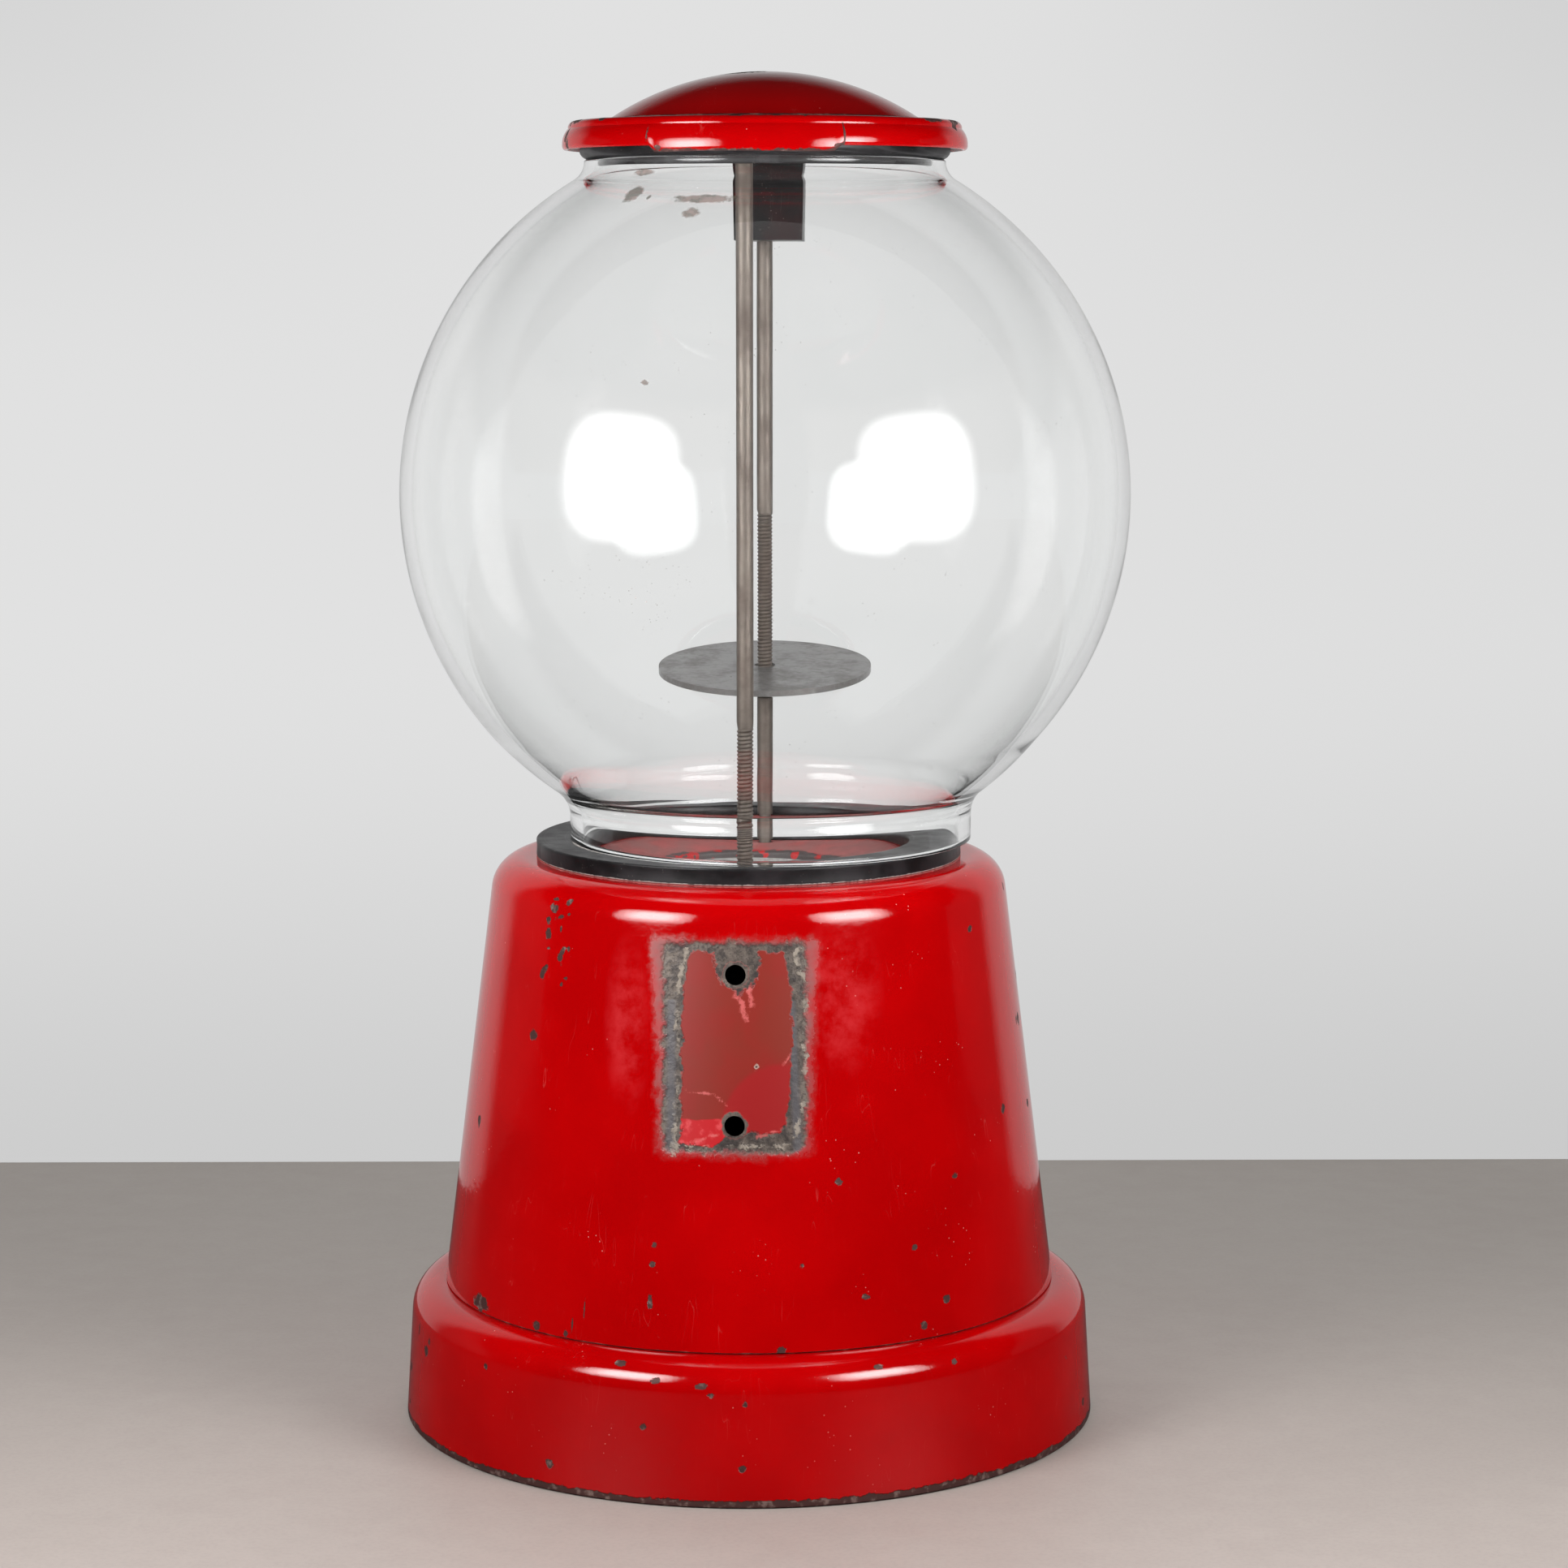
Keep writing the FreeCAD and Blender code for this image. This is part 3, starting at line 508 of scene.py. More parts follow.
def pad_marks(f, colour, rough, metal, height):
    """Where a bracket sat: a frame of grey corroded metal with a pink-grey edge and pale crumbs, an
    older browner paint inside it with cracks, and bare metal round the two holes."""
    slate = f.ramp(f.value_of("pad_slate"), 0.0, 0.8)
    coarse = f.noise(260.0, 6.0, rough=0.7)
    stone = f.blend(f.ramp(coarse, 0.36, 0.62), rgb(54, 47, 45), rgb(102, 92, 84))
    bare = f.blend(f.times(slate, 0.75), stone, rgb(84, 82, 86))
    pits = f.ramp(f.noise(1200.0, 3.0), 0.38, 0.47, 0.65, 0.0)
    bare = f.blend(f.times(pits, f.minus(1.0, slate)), bare, rgb(48, 42, 40))
    fray = f.minus(f.noise(330.0, 6.0, rough=0.7), 0.5)
    halo_field = f.plus(f.value_of("pad_halo"), f.times(fray, 3.2))
    halo = f.ramp(halo_field, -0.3, 2.0)
    pink = f.blend(f.ramp(f.noise(140.0, 5.0), 0.38, 0.6), rgb(140, 40, 42), rgb(112, 74, 72))
    # Paler pink patches left and right of the pad: partly rubbed paint, partly a painted sheen standing in
    # for the lamps' soft reflection.
    worn = f.ramp(f.noise(110.0, 6.0, rough=0.7), 0.36, 0.72, 0.0, 0.36)
    rubbed_sheen = f.times(f.value_of("worn_sheen"), worn)
    colour = f.blend(rubbed_sheen, colour, rgb(196, 62, 66))
    colour = f.blend(f.times(halo, 0.75), colour, pink)
    rough = f.mixed(halo, rough, 0.55)
    plate = f.use(RAGGED, Field=f.value_of("pad"), Tear=2.0, Grain=260.0, Soft=1.2)["Mask"]
    colour = f.blend(plate, colour, bare)
    rough = f.mixed(plate, rough, 0.5)
    metal = f.mixed(plate, metal, 0.3)
    old = f.use(RAGGED, Field=f.value_of("pad_old"), Tear=2.0, Grain=260.0, Soft=0.2)
    brown = f.blend(f.ramp(f.noise(45.0, 4.0), 0.4, 0.65), rgb(116, 26, 9), rgb(124, 15, 3))
    brown = f.blend(f.value_of("pad_red"), brown, rgb(134, 0, 2))
    fresh = f.blend(f.ramp(f.noise(300.0, 5.0), 0.46, 0.62), rgb(166, 0, 12), rgb(186, 58, 62))
    low_field = f.plus(f.value_of("pad_low"), f.minus(f.noise(150.0, 4.0), 0.5))
    low_mask = f.ramp(low_field, 0.35, 0.6)
    brown = f.blend(low_mask, brown, fresh)
    colour = f.blend(f.times(old["Rim"], 0.6), colour, rgb(160, 44, 44))
    colour = f.blend(old["Mask"], colour, brown)
    rough = f.mixed(old["Mask"], rough, 0.45)
    metal = f.mixed(old["Mask"], metal, 0.0)
    crack = f.use(RAGGED, Field=f.value_of("pad_crack"), Tear=1.7, Grain=800.0, Soft=0.9)["Mask"]
    colour = f.blend(f.times(crack, 0.75), colour, rgb(190, 92, 90))
    ring = f.use(RAGGED, Field=f.value_of("pad_ring"), Tear=1.6, Grain=260.0, Soft=0.3)
    colour = f.blend(f.times(ring["Rim"], 0.5), colour, rgb(170, 76, 74))
    colour = f.blend(ring["Mask"], colour, bare)
    metal = f.mixed(ring["Mask"], metal, 0.3)
    crumb = f.use(RAGGED, Field=f.value_of("pad_crumb"), Tear=1.8, Grain=520.0, Soft=0.4)["Mask"]
    crumb = f.times(crumb, f.ramp(f.noise(170.0, 4.0), 0.46, 0.6))
    colour = f.blend(f.times(crumb, 0.85), colour, rgb(146, 136, 124))
    rough = f.mixed(crumb, f.mixed(ring["Mask"], rough, 0.5), 0.7)
    # A pin hole drawn as a pale ring round a dark dot: the dot is painted shade inside the hole.
    prick = f.value_of("pad_prick")
    colour = f.blend(f.ramp(prick, 0.0, 0.2), colour, rgb(150, 120, 110))
    colour = f.blend(f.ramp(prick, 0.45, 0.6), colour, rgb(24, 16, 14))
    settled = f.ramp(f.noise(160.0, 5.0), 0.3, 0.6, 0.55, 0.9)
    dusty = f.times(f.value_of("dish"), settled)
    colour = f.blend(dusty, colour, rgb(128, 84, 82))
    rough = f.mixed(dusty, rough, 0.7)
    lip = f.use(RAGGED, Field=f.value_of("throat"), Tear=1.2, Grain=160.0, Soft=0.3)["Mask"]
    flaked = f.blend(f.ramp(f.noise(230.0, 3.0), 0.53, 0.57), rgb(62, 54, 54), rgb(160, 12, 16))
    colour = f.blend(lip, colour, flaked)
    bared = f.minus(plate, old["Mask"], True)
    step = f.times(bared, f.mixed(f.noise(600.0, 3.0), 0.5, 1.6))
    height = f.plus(f.minus(height, step), f.times(crumb, 0.8))
    return colour, rough, metal, height


def glass_finish():
    """Clear old glass: faint green-grey, a little uneven, with sparse specks of dirt; light passes
    it without a shadow."""
    material, f, shader, end = new_finish("old_clear_glass")
    scuffs = f.use(SCUFFS, Amount=1.0)
    tint = f.blend(f.ramp(scuffs["Cloud"], 0.3, 0.7), (0.975, 0.982, 0.979, 1), (0.99, 0.994, 0.992, 1))
    f.fill(shader, {"Base Color": tint, "Roughness": 0.0, "IOR": 1.42, "Transmission Weight": 1.0,
                    "Normal": f.bump(f.noise(18.0, 2.0), 0.06, 0.002)})
    clear = f.add("ShaderNodeBsdfTransparent", {0: (0.9, 0.92, 0.915, 1)}).outputs[0]
    stain = f.blend(f.ramp(f.noise(260.0, 3.0), 0.4, 0.6), rgb(92, 86, 74), rgb(138, 116, 108))
    dirt = f.add("ShaderNodeBsdfDiffuse", {0: stain}).outputs[0]
    blotch = f.use(RAGGED, Field=f.value_of("blotch"), Tear=0.6, Grain=330.0, Soft=0.4)["Mask"]
    dirty = f.sums("MAXIMUM", f.times(scuffs["Specks"], 0.35), f.times(blotch, 0.72))
    seen = f.add("ShaderNodeMixShader", {0: dirty, 1: shader.outputs[0], 2: dirt}).outputs[0]
    shade = f.add("ShaderNodeLightPath").outputs["Is Shadow Ray"]
    both = f.add("ShaderNodeMixShader", {0: shade, 1: seen, 2: clear}).outputs[0]
    f.feed(end.inputs["Surface"], both)
    return material


def rubber_finish():
    """Dark grey rubber, satin, with faint rings round the axis, pale crumbs of dust along its edges."""
    material, f, shader, _ = new_finish("old_black_rubber")
    cloud = f.noise(120.0, 5.0)
    base = f.blend(f.ramp(cloud, 0.35, 0.65), rgb(15, 14, 15), rgb(28, 26, 28))
    spot = f.add("ShaderNodeSeparateXYZ", {0: f.where()}).outputs
    flat = f.add("ShaderNodeCombineXYZ", {0: spot[0], 1: spot[1]}).outputs[0]
    radius = f.add("ShaderNodeVectorMath", {0: flat}, operation="LENGTH").outputs["Value"]
    turns = f.times(radius, 1500.0)
    rings = f.add("ShaderNodeTexNoise", {"W": turns, "Scale": 1.0, "Detail": 2.0},
                  noise_dimensions="1D").outputs[0]
    base = f.blend(f.ramp(rings, 0.5, 0.75, 0.0, 0.3), base, rgb(74, 72, 74))
    dust = f.use(RAGGED, Field=f.value_of("dust"), Tear=1.1, Grain=900.0, Soft=0.4)["Mask"]
    base = f.blend(f.times(dust, 0.8), base, rgb(176, 168, 162))
    crumbs = f.ramp(f.cells(900.0), 0.06, 0.13, 0.6, 0.0)
    base = f.blend(f.times(crumbs, f.ramp(f.noise(150.0), 0.5, 0.6)), base, rgb(150, 144, 138))
    height = f.plus(f.times(rings, 0.4), f.times(f.noise(500.0, 3.0), 0.5))
    f.fill(shader, {"Base Color": base, "Specular IOR Level": 0.25,
                    "Roughness": f.mixed(dust, f.ramp(cloud, 0.3, 0.7, 0.34, 0.5), 0.9),
                    "Normal": f.bump(f.plus(height, dust), 0.25, 0.00025)})
    return material


def metal_finish(name, clean, dull, scale, share, rough, lines=None, bright=0.9, depth=0.08, specks=0.6):
    """Worn metal; rough is its roughness where clean and where dull, lines the stretch of fine drawn
    or turned marks."""
    material, f, shader, _ = new_finish(name)
    worn = f.use(TARNISH, Clean=clean, Dull=dull, Scale=scale, Share=share)
    colour = worn["Colour"]
    height = worn["Height"]
    if lines:
        marks = f.noise(1.0, 2.0, stretch=lines)
        colour = f.blend(f.ramp(marks, 0.55, 0.7, 0.0, 0.35), colour, dull)
        height = f.plus(height, marks)
    scuffs = f.use(SCUFFS, Amount=1.0)
    colour = f.blend(f.times(scuffs["Specks"], specks), colour, rgb(66, 46, 38))
    f.fill(shader, {"Base Color": colour, "Metallic": f.mixed(worn["Dulled"], bright, bright * 0.6),
                    "Roughness": f.ramp(worn["Dulled"], 0.0, 1.0, *rough),
                    "Normal": f.bump(height, depth, 0.0003)})
    return material


def case_finish():
    """Black lacquered case, in patches towards a dark red, with dust."""
    material, f, shader, _ = new_finish("black_lacquer")
    scuffs = f.use(SCUFFS, Amount=1.0)
    base = f.blend(f.ramp(f.noise(90.0, 4.0), 0.45, 0.65), rgb(6, 5, 6), rgb(24, 5, 6))
    crumbs = f.times(f.ramp(f.cells(900.0), 0.08, 0.2, 1.0, 0.0), f.ramp(f.noise(110.0, 3.0), 0.5, 0.66))
    base = f.blend(crumbs, base, rgb(120, 108, 104))
    base = f.blend(f.times(scuffs["Scratches"], 0.4), base, rgb(120, 112, 108))
    f.fill(shader, {"Base Color": base, "Specular IOR Level": 0.2,
                    "Roughness": f.ramp(scuffs["Cloud"], 0.3, 0.7, 0.25, 0.45),
                    "Normal": f.bump(f.noise(700.0, 2.0), 0.12, 0.0002)})
    return material


# stand
def base_outline():
    """Wall of the base: foot, leaning side, shoulder, lip up inside the body, and back down inside."""
    a, b, c = shoulder(BASE_R, 0.0, BASE_LEAN, BASE_TOP, BASE_ROUND)
    p, q, r = shoulder(BASE_R - SHEET, 0.0, BASE_LEAN, BASE_TOP - SHEET, BASE_ROUND - SHEET)
    lip, inner = BODY_R - SHEET - 0.4, BASE_R - SHEET
    return outline(
        (inner + 0.5, 0.0), ((BASE_R - 0.5, 0.0), 1.0), ((BASE_R - 0.12, 0.15), (BASE_R - 0.03, 0.5), 4),
        (a, 1.0), (b, c, 18), ((lip, BASE_TOP), 1.2), ((lip - 0.6, 45.0), 3.0), ((lip - 2.2, 45.0), 2.0),
        ((lip - 2.2, BASE_TOP - SHEET), 4.0), (r, 4.0), (q, p, 8), ((inner - BASE_LEAN * 6.5, 6.5), 8.0),
        ((90.0, 6.5), 5.0), ((90.0, 4.7), 2.0), ((inner - BASE_LEAN * 4.7, 4.7), 5.0))


def body_outline():
    """Wall of the body: foot, leaning side, shoulder, dish down to the throat, and back underneath."""
    a, b, c = shoulder(BODY_R, BASE_TOP, BODY_LEAN, BODY_TOP, BODY_ROUND)
    t = SHEET
    p, q, r = shoulder(BODY_R - t, BASE_TOP, BODY_LEAN, BODY_TOP - t, BODY_ROUND - t)
    return outline(
        (BODY_R - t, BASE_TOP), ((BODY_R - 0.5, BASE_TOP), 1.5), ((BODY_R - 0.06, BASE_TOP + 0.45), 0.3),
        (a, 1.05), (b, c, 20), ((DISH_R + 1.5, BODY_TOP), 1.6),
        ((DISH_R, BODY_TOP - 0.15), (DISH_R - 1.5, BODY_TOP - 0.45), 5),
        ((THROAT_R + 0.6, THROAT_TOP + 0.1), 1.6),
        ((THROAT_R + 0.12, THROAT_TOP - 0.25), (THROAT_R, THROAT_TOP - 0.8), 4),
        ((THROAT_R, THROAT_TOP - t), 0.6),
        ((DISH_R, BODY_TOP - t), 6.0), (r, 6.0), (q, p, 6))


BASE_CHIPS = [
    (-12.3, 34.2, 1.6, 0.9), (-5.0, 33.4, 1.9, 0.9), (-3.2, 31.0, 1.2, 0.8), (-18.6, 37.5, 1.6, 0.7),
    (-14.0, 21.4, 1.3, 1.0), (-30.4, 7.5, 1.4, 1.2), (1.7, 11.0, 1.2, 0.9), (2.1, 28.7, 0.9, 0.9),
    (24.0, 36.6, 1.5, 0.6), (38.0, 35.0, 1.0, 0.8), (-45.0, 30.0, 0.8, 1.1),
]
BODY_CHIPS = [
    (-43.7, 157.3, 1.5, 1.2), (-44.9, 150.3, 1.2, 1.6), (-40.7, 144.2, 1.1, 1.4), (-45.8, 138.8, 1.2, 1.6),
    (-39.6, 159.7, 1.2, 0.9), (-46.9, 121.4, 1.6, 1.5), (-56.3, 42.6, 4.2, 2.2), (-39.1, 41.7, 1.5, 1.4),
    (-32.0, 41.3, 0.8, 1.2), (-14.9, 68.7, 1.0, 0.8), (-15.1, 63.4, 0.9, 0.8), (-15.3, 52.9, 0.7, 2.6),
    (19.8, 86.0, 1.1, 1.1), (46.0, 83.2, 1.3, 0.9), (34.9, 65.6, 1.1, 0.9), (12.4, 63.6, 0.8, 0.7),
    (24.1, 53.9, 1.2, 0.9), (41.4, 49.8, 1.4, 1.2), (8.5, 40.8, 1.6, 1.0), (35.7, 43.8, 1.3, 1.1),
    (64.3, 97.3, 1.2, 1.5), (4.1, 117.6, 0.75, 0.75), (-30.8, 43.9, 0.45, 2.6), (-28.4, 49.3, 0.4, 3.0),
    (58.0, 150.0, 1.2, 1.0), (-66.0, 92.0, 1.2, 1.8),
]

base = turned("enamel_base", base_outline(), spokes(440, 0.45))
soften(base)
base_points = points_of(base)
base_chips = BASE_CHIPS + scattered(26, (60, 300), (3, 38), (0.6, 1.9))
paint(base, "chip", chip_field(base_points, base_chips, 0.0))

body = turned("enamel_body", body_outline(), spokes(420, 0.45))
tilt = math.atan(BODY_LEAN)
cutters = []
for k, z in enumerate(PAD_Z):
    r = BODY_R - BODY_LEAN * (z - BASE_TOP)
    square_to_it = (0, -math.cos(tilt), math.sin(tilt))
    cutters.append(plug_mesh("cut_pad%d" % k, (0, -r, z), square_to_it, PAD_HOLE_R, 16.0))
for k, (x, y) in enumerate((FRONT_ROD, REAR_ROD)):
    cutters.append(plug_mesh("cut_rod%d" % k, (x, y, 162.0), (0, 0, 1), ROD_R + 0.05, 20.0))
cutters.append(plug_mesh("cut_coin", (0, 80, COIN_Z), (0, 1, 0), COIN_HOLE_R, 40.0, 96))
for k, (x, r, z) in enumerate(SCREW_HOLES):
    cutters.append(plug_mesh("cut_screw%d" % k, (x, 80, z), (0, 1, 0), r, 40.0))
cutters.append(block_mesh("cut_mouth", MOUTH_LOW, MOUTH_HIGH))
pierce(body, cutters)
soften(body)

at = points_of(body)
body_chips = BODY_CHIPS + scattered(15, (-47, -38), (136, 161), (0.4, 1.2))
body_chips += scattered(40, (70, 290), (41, 163), (0.6, 2.0))
paint(body, "chip", chip_field(at, body_chips, 0.0))
reach = np.hypot(at[:, 0], at[:, 1])
front = (at[:, 1] < 0) & (reach > 70.0)


def rounded(x, z, half_x, half_z, corner):
    """Distance inside (+) or outside (-) a rectangle with round corners, in mm."""
    qx, qz = np.abs(x) - half_x + corner, np.abs(z) - half_z + corner
    past_corner = np.hypot(np.maximum(qx, 0), np.maximum(qz, 0))
    return corner - past_corner - np.minimum(np.maximum(qx, qz), 0)


def strokes(x, z, lines):
    """For each point the largest of 1 - d / half width over straight strokes (x0, z0, x1, z1, half)."""
    best = np.full(len(x), NOWHERE)
    for x0, z0, x1, z1, half in lines:
        dx, dz = x1 - x0, z1 - z0
        along = np.clip(((x - x0) * dx + (z - z0) * dz) / (dx * dx + dz * dz), 0, 1)
        best = np.maximum(best, 1.0 - np.hypot(x - x0 - along * dx, z - z0 - along * dz) / half)
    return best


# the bare pad, in mm from the axis (px) and above the floor (pz)
px, pz = at[:, 0], at[:, 2]
far = np.where(front, 0.0, -9.0)
left = -14.6 + 2.4 * np.clip((pz - 137.0) / 12.0, 0, 1) - 0.8 * np.clip((104.0 - pz) / 8.0, 0, 1)
right = 15.6 - 2.4 * np.clip((pz - 138.0) / 10.0, 0, 1) - 2.2 * np.clip((110.0 - pz) / 10.0, 0, 1)
low_side = np.where(px > 3.0, 100.0, 96.6)
inner = np.minimum(np.minimum(px - left, right - px), np.minimum(pz - low_side, 149.4 - pz))
top_patch = np.hypot((px - 0.4) / 6.2, (pz - 148.5) / 9.6) - 1.0
low_patch = np.hypot((px - 0.4) / 4.0, (pz - 96.0) / 4.6) - 1.0
inner = np.minimum(inner, np.minimum(top_patch, low_patch) * 4.0)
halo_wide = 22.6 + 1.6 * np.clip((pz - 120.0) / 25.0, 0, 1)
paint(body, "pad_halo", rounded(px + 0.2, pz - 123.1, halo_wide, 30.9, 4.0) / 1.8 + far)
paint(body, "pad", rounded(px + 0.3, pz - 123.3, 20.6, 29.6, 4.0) / 1.5 + far)
paint(body, "pad_old", inner / 1.3 + far)
chain = np.minimum(np.abs(px - left + 1.6), np.abs(px - right - 3.6))
chain = np.minimum(chain, np.where(np.abs(px) < 17.0, np.abs(pz - 96.0), 9.0))
strip = np.minimum(np.abs(px + 17.6) / 1.9, np.abs(px - 16.6 - 0.05 * (110.0 - pz)) / 1.8)
paint(body, "pad_slate", np.where(pz < 136.0, 1.0 - strip, -1.0) + np.clip(far, -1, 0))
paint(body, "pad_crumb", np.where(np.abs(pz - 122.0) < 29.0, 0.75 - chain / 1.2, NOWHERE) + far)
holes = np.minimum(np.hypot(px, pz - PAD_Z[0]), np.hypot(px, pz - PAD_Z[1]))
paint(body, "pad_ring", (PAD_HOLE_R + 0.9 - holes) / 1.2 + far)
deep = np.clip((17.2 - np.hypot(px - 13.4, pz - 102.1)) / 0.9, 0, 1)
paint(body, "pad_red", deep * front)
inside = pz > 156.0
paint(body, "dish", np.where(inside, np.clip((GASKET_IN + 0.5 - reach) / 2.0, 0, 1), 0.0))
paint(body, "throat", np.where(inside, 1.0 - np.abs(reach - THROAT_R) / 2.2, NOWHERE))
paint(body, "pad_low", np.clip((104.5 - pz) / 1.5, 0, 1) * np.clip((-1.0 - px) / 1.5, 0, 1) * front)
CRACKS = [
    (-13.5, 111.4, -5.2, 110.5, 0.5), (-5.2, 110.5, -1.6, 107.0, 0.5), (13.2, 118.4, 15.4, 121.8, 0.5),
    (-0.5, 138.1, 1.9, 135.4, 0.9), (1.9, 135.4, 3.0, 131.2, 1.2), (3.8, 139.6, 4.6, 134.6, 0.9),
    (-12.0, 97.4, -4.0, 100.0, 0.6), (6.0, 99.0, 13.0, 101.0, 0.6),
]
paint(body, "pad_crack", strokes(px, pz, CRACKS) + far)
# Field of the paler pink patches beside the pad: rubbed paint and a painted sheen of the lamps' reflection.
worn_sheen = np.maximum(1.0 - np.hypot((px - 28.0) / 13.0, (pz - 136.0) / 24.0),
                  1.0 - np.hypot((px + 30.0) / 7.0, (pz - 128.0) / 26.0))
paint(body, "worn_sheen", np.clip(worn_sheen * 1.8, 0, 1) * front)
# Field of the pin hole: pale ring and a dot of painted shade.
paint(body, "pad_prick", np.where(front, 1.0 - np.hypot(px - 5.96, pz - 118.3) / 0.9, NOWHERE))

base.data.materials.append(enamel("red_enamel_base", bare_edge=0.0022))
body.data.materials.append(enamel("red_enamel_body", (0.0397, 0.0006), extra=pad_marks))

# rubber rings
ring = outline(
    (GASKET_IN + 0.4, BODY_TOP), ((GASKET_OUT - 0.5, BODY_TOP), 3.0),
    ((GASKET_OUT - 0.14, BODY_TOP + 0.14), (GASKET_OUT, BODY_TOP + 0.5), 4),
    ((GASKET_OUT - 0.1, BODY_TOP + 2.4), (GASKET_OUT, GASKET_TOP - 0.5), 8),
    ((GASKET_OUT - 0.14, GASKET_TOP - 0.14), (GASKET_OUT - 0.5, GASKET_TOP), 5),
    ((GASKET_IN + 0.5, GASKET_TOP), 0.7), ((GASKET_IN, GASKET_TOP - 0.5), 0.3),
    ((GASKET_IN, BODY_TOP + 0.4), 2.0))
seat_ring = turned("globe_seat_ring", ring, spokes(320, 0.3))
sp = points_of(seat_ring)
round_foot = np.abs(np.hypot(sp[:, 0] - SHIFT, sp[:, 1]) - FOOT_R + 1.5)
crumbs_at = round_foot / 1.6 + 0.5 + np.clip(sp[:, 1] / 20 + 1, 0, 9)
from_edge = np.hypot(sp[:, 0], sp[:, 1]) - GASKET_OUT
rim_at = np.hypot(from_edge, sp[:, 2] - GASKET_TOP) / 0.55
foot_at = np.hypot(from_edge, sp[:, 2] - BODY_TOP) / 0.45
paint(seat_ring, "dust", 1.0 - np.minimum(np.where(sp[:, 2] > GASKET_TOP - 0.2, crumbs_at, 9.0),
                                          np.minimum(rim_at + 0.75, foot_at)))
soften(seat_ring, 50)
lid_ring = turned("lid_seat_ring", outline(
    (45.0, 363.0), ((47.4, 363.0), 1.0), ((47.8, 363.4), 0.4), ((47.8, 365.55), 1.0), ((50.4, 365.55), 1.0),
    ((52.2, 366.3), (53.0, 367.9), 6), ((53.0, 373.0), 1.0), ((52.4, 374.2), (51.4, 374.8), 4),
    ((47.0, 374.8), 2.0), ((44.5, 373.4), 1.0), ((44.5, 363.4), 2.0)), spokes(256), (SHIFT, 0.0))
soften(lid_ring, 50)
rp = points_of(lid_ring)
paint(lid_ring, "dust", -0.35 - np.abs(rp[:, 2] - 367.0) / 3.0)
rubber = rubber_finish()
seat_ring.data.materials.append(rubber)
lid_ring.data.materials.append(rubber)


# globe
def flare(ball, neck, round_r, sign):
    """Round between a ball and a neck above (sign 1) or below it (sign -1): its end on the neck, its
    middle and its end on the ball."""
    reach, rc = ball + round_r, neck + round_r
    zc = GLOBE_Z + sign * math.sqrt(reach ** 2 - rc ** 2)
    share = ball / reach
    on = (rc * share, GLOBE_Z + (zc - GLOBE_Z) * share)
    away = math.atan2(on[1] - zc, on[0] - rc)
    turn = math.pi - abs(away) if sign > 0 else abs(math.pi - away)
    half = math.pi + sign * turn / 2
    return (neck, zc), (rc + round_r * math.cos(half), zc + round_r * math.sin(half)), on


low, low_mid, low_on = flare(GLOBE_R, FOOT_R, FOOT_ROUND, -1)
top, top_mid, top_on = flare(GLOBE_R, NECK_R, NECK_ROUND, 1)
low_in, low_mid_in, low_on_in = flare(GLOBE_R - GLASS, FOOT_R - GLASS, 5.5, -1)
top_in, top_mid_in, top_on_in = flare(GLOBE_R - GLASS, NECK_R - GLASS, NECK_ROUND + GLASS, 1)
globe_line = outline(
    (FOOT_R - GLASS + 0.4, GASKET_TOP), ((FOOT_R - 0.35, GASKET_TOP), 1.0),
    ((FOOT_R - 0.1, GASKET_TOP + 0.1), (FOOT_R, GASKET_TOP + 0.35), 4), (low, 1.0), (low_mid, low_on, 20),
    ((GLOBE_R, GLOBE_Z), top_on, 120), (top_mid, top, 14), ((NECK_R - 0.1, NECK_TOP - 0.3), 0.3),
    ((NECK_R - 0.5, NECK_TOP), 0.3), ((NECK_R - GLASS + 0.5, NECK_TOP), 1.0), (top_in, 0.4),
    (top_mid_in, top_on_in, 16), ((GLOBE_R - GLASS, GLOBE_Z), low_on_in, 120), (low_mid_in, low_in, 22),
    ((FOOT_R - GLASS, GASKET_TOP + 0.4), 1.0))


def crooked_foot(r, z, t):
    """Foot of the blown globe pushed 1.5 mm towards +X, which fades out between z 178 and 200."""
    return r + 1.5 * np.cos(t) * np.clip((200.0 - z) / 22.0, 0, 1), z


globe = turned("glass_globe", globe_line, spokes(288), (SHIFT, 0.0), shape=crooked_foot)
soften(globe, 60)
GLASS_BLOTCHES = [
    (-33.0, 355.0, 3.2, 2.8), (-36.5, 361.0, 4.4, 1.1), (-27.5, 354.2, 1.0, 0.9), (-14.5, 349.7, 3.0, 1.5),
    (-12.0, 353.6, 12.0, 1.3), (148.0, 240.0, 1.2, 2.0), (205.0, 300.0, 1.6, 1.2),
]
gp = points_of(globe)
outer = np.hypot(np.hypot(gp[:, 0] - SHIFT, gp[:, 1]), gp[:, 2] - GLOBE_Z) > GLOBE_R - 1.0
paint(globe, "blotch", np.where(outer, chip_field(gp, GLASS_BLOTCHES, SHIFT), NOWHERE))
globe.data.materials.append(glass_finish())

# lid
foot = math.sqrt(DOME_R ** 2 - (LID_RIM + DOME_R - DOME_TOP) ** 2)
under = DOME_R - LID_SHEET
foot_under = math.sqrt(under ** 2 - (LID_RIM - LID_SHEET + DOME_R - DOME_TOP) ** 2)


def dome(r, radius):
    """Point at r on a ball of this radius round the dome's middle."""
    return (r, DOME_TOP - DOME_R + math.sqrt(radius ** 2 - r ** 2))


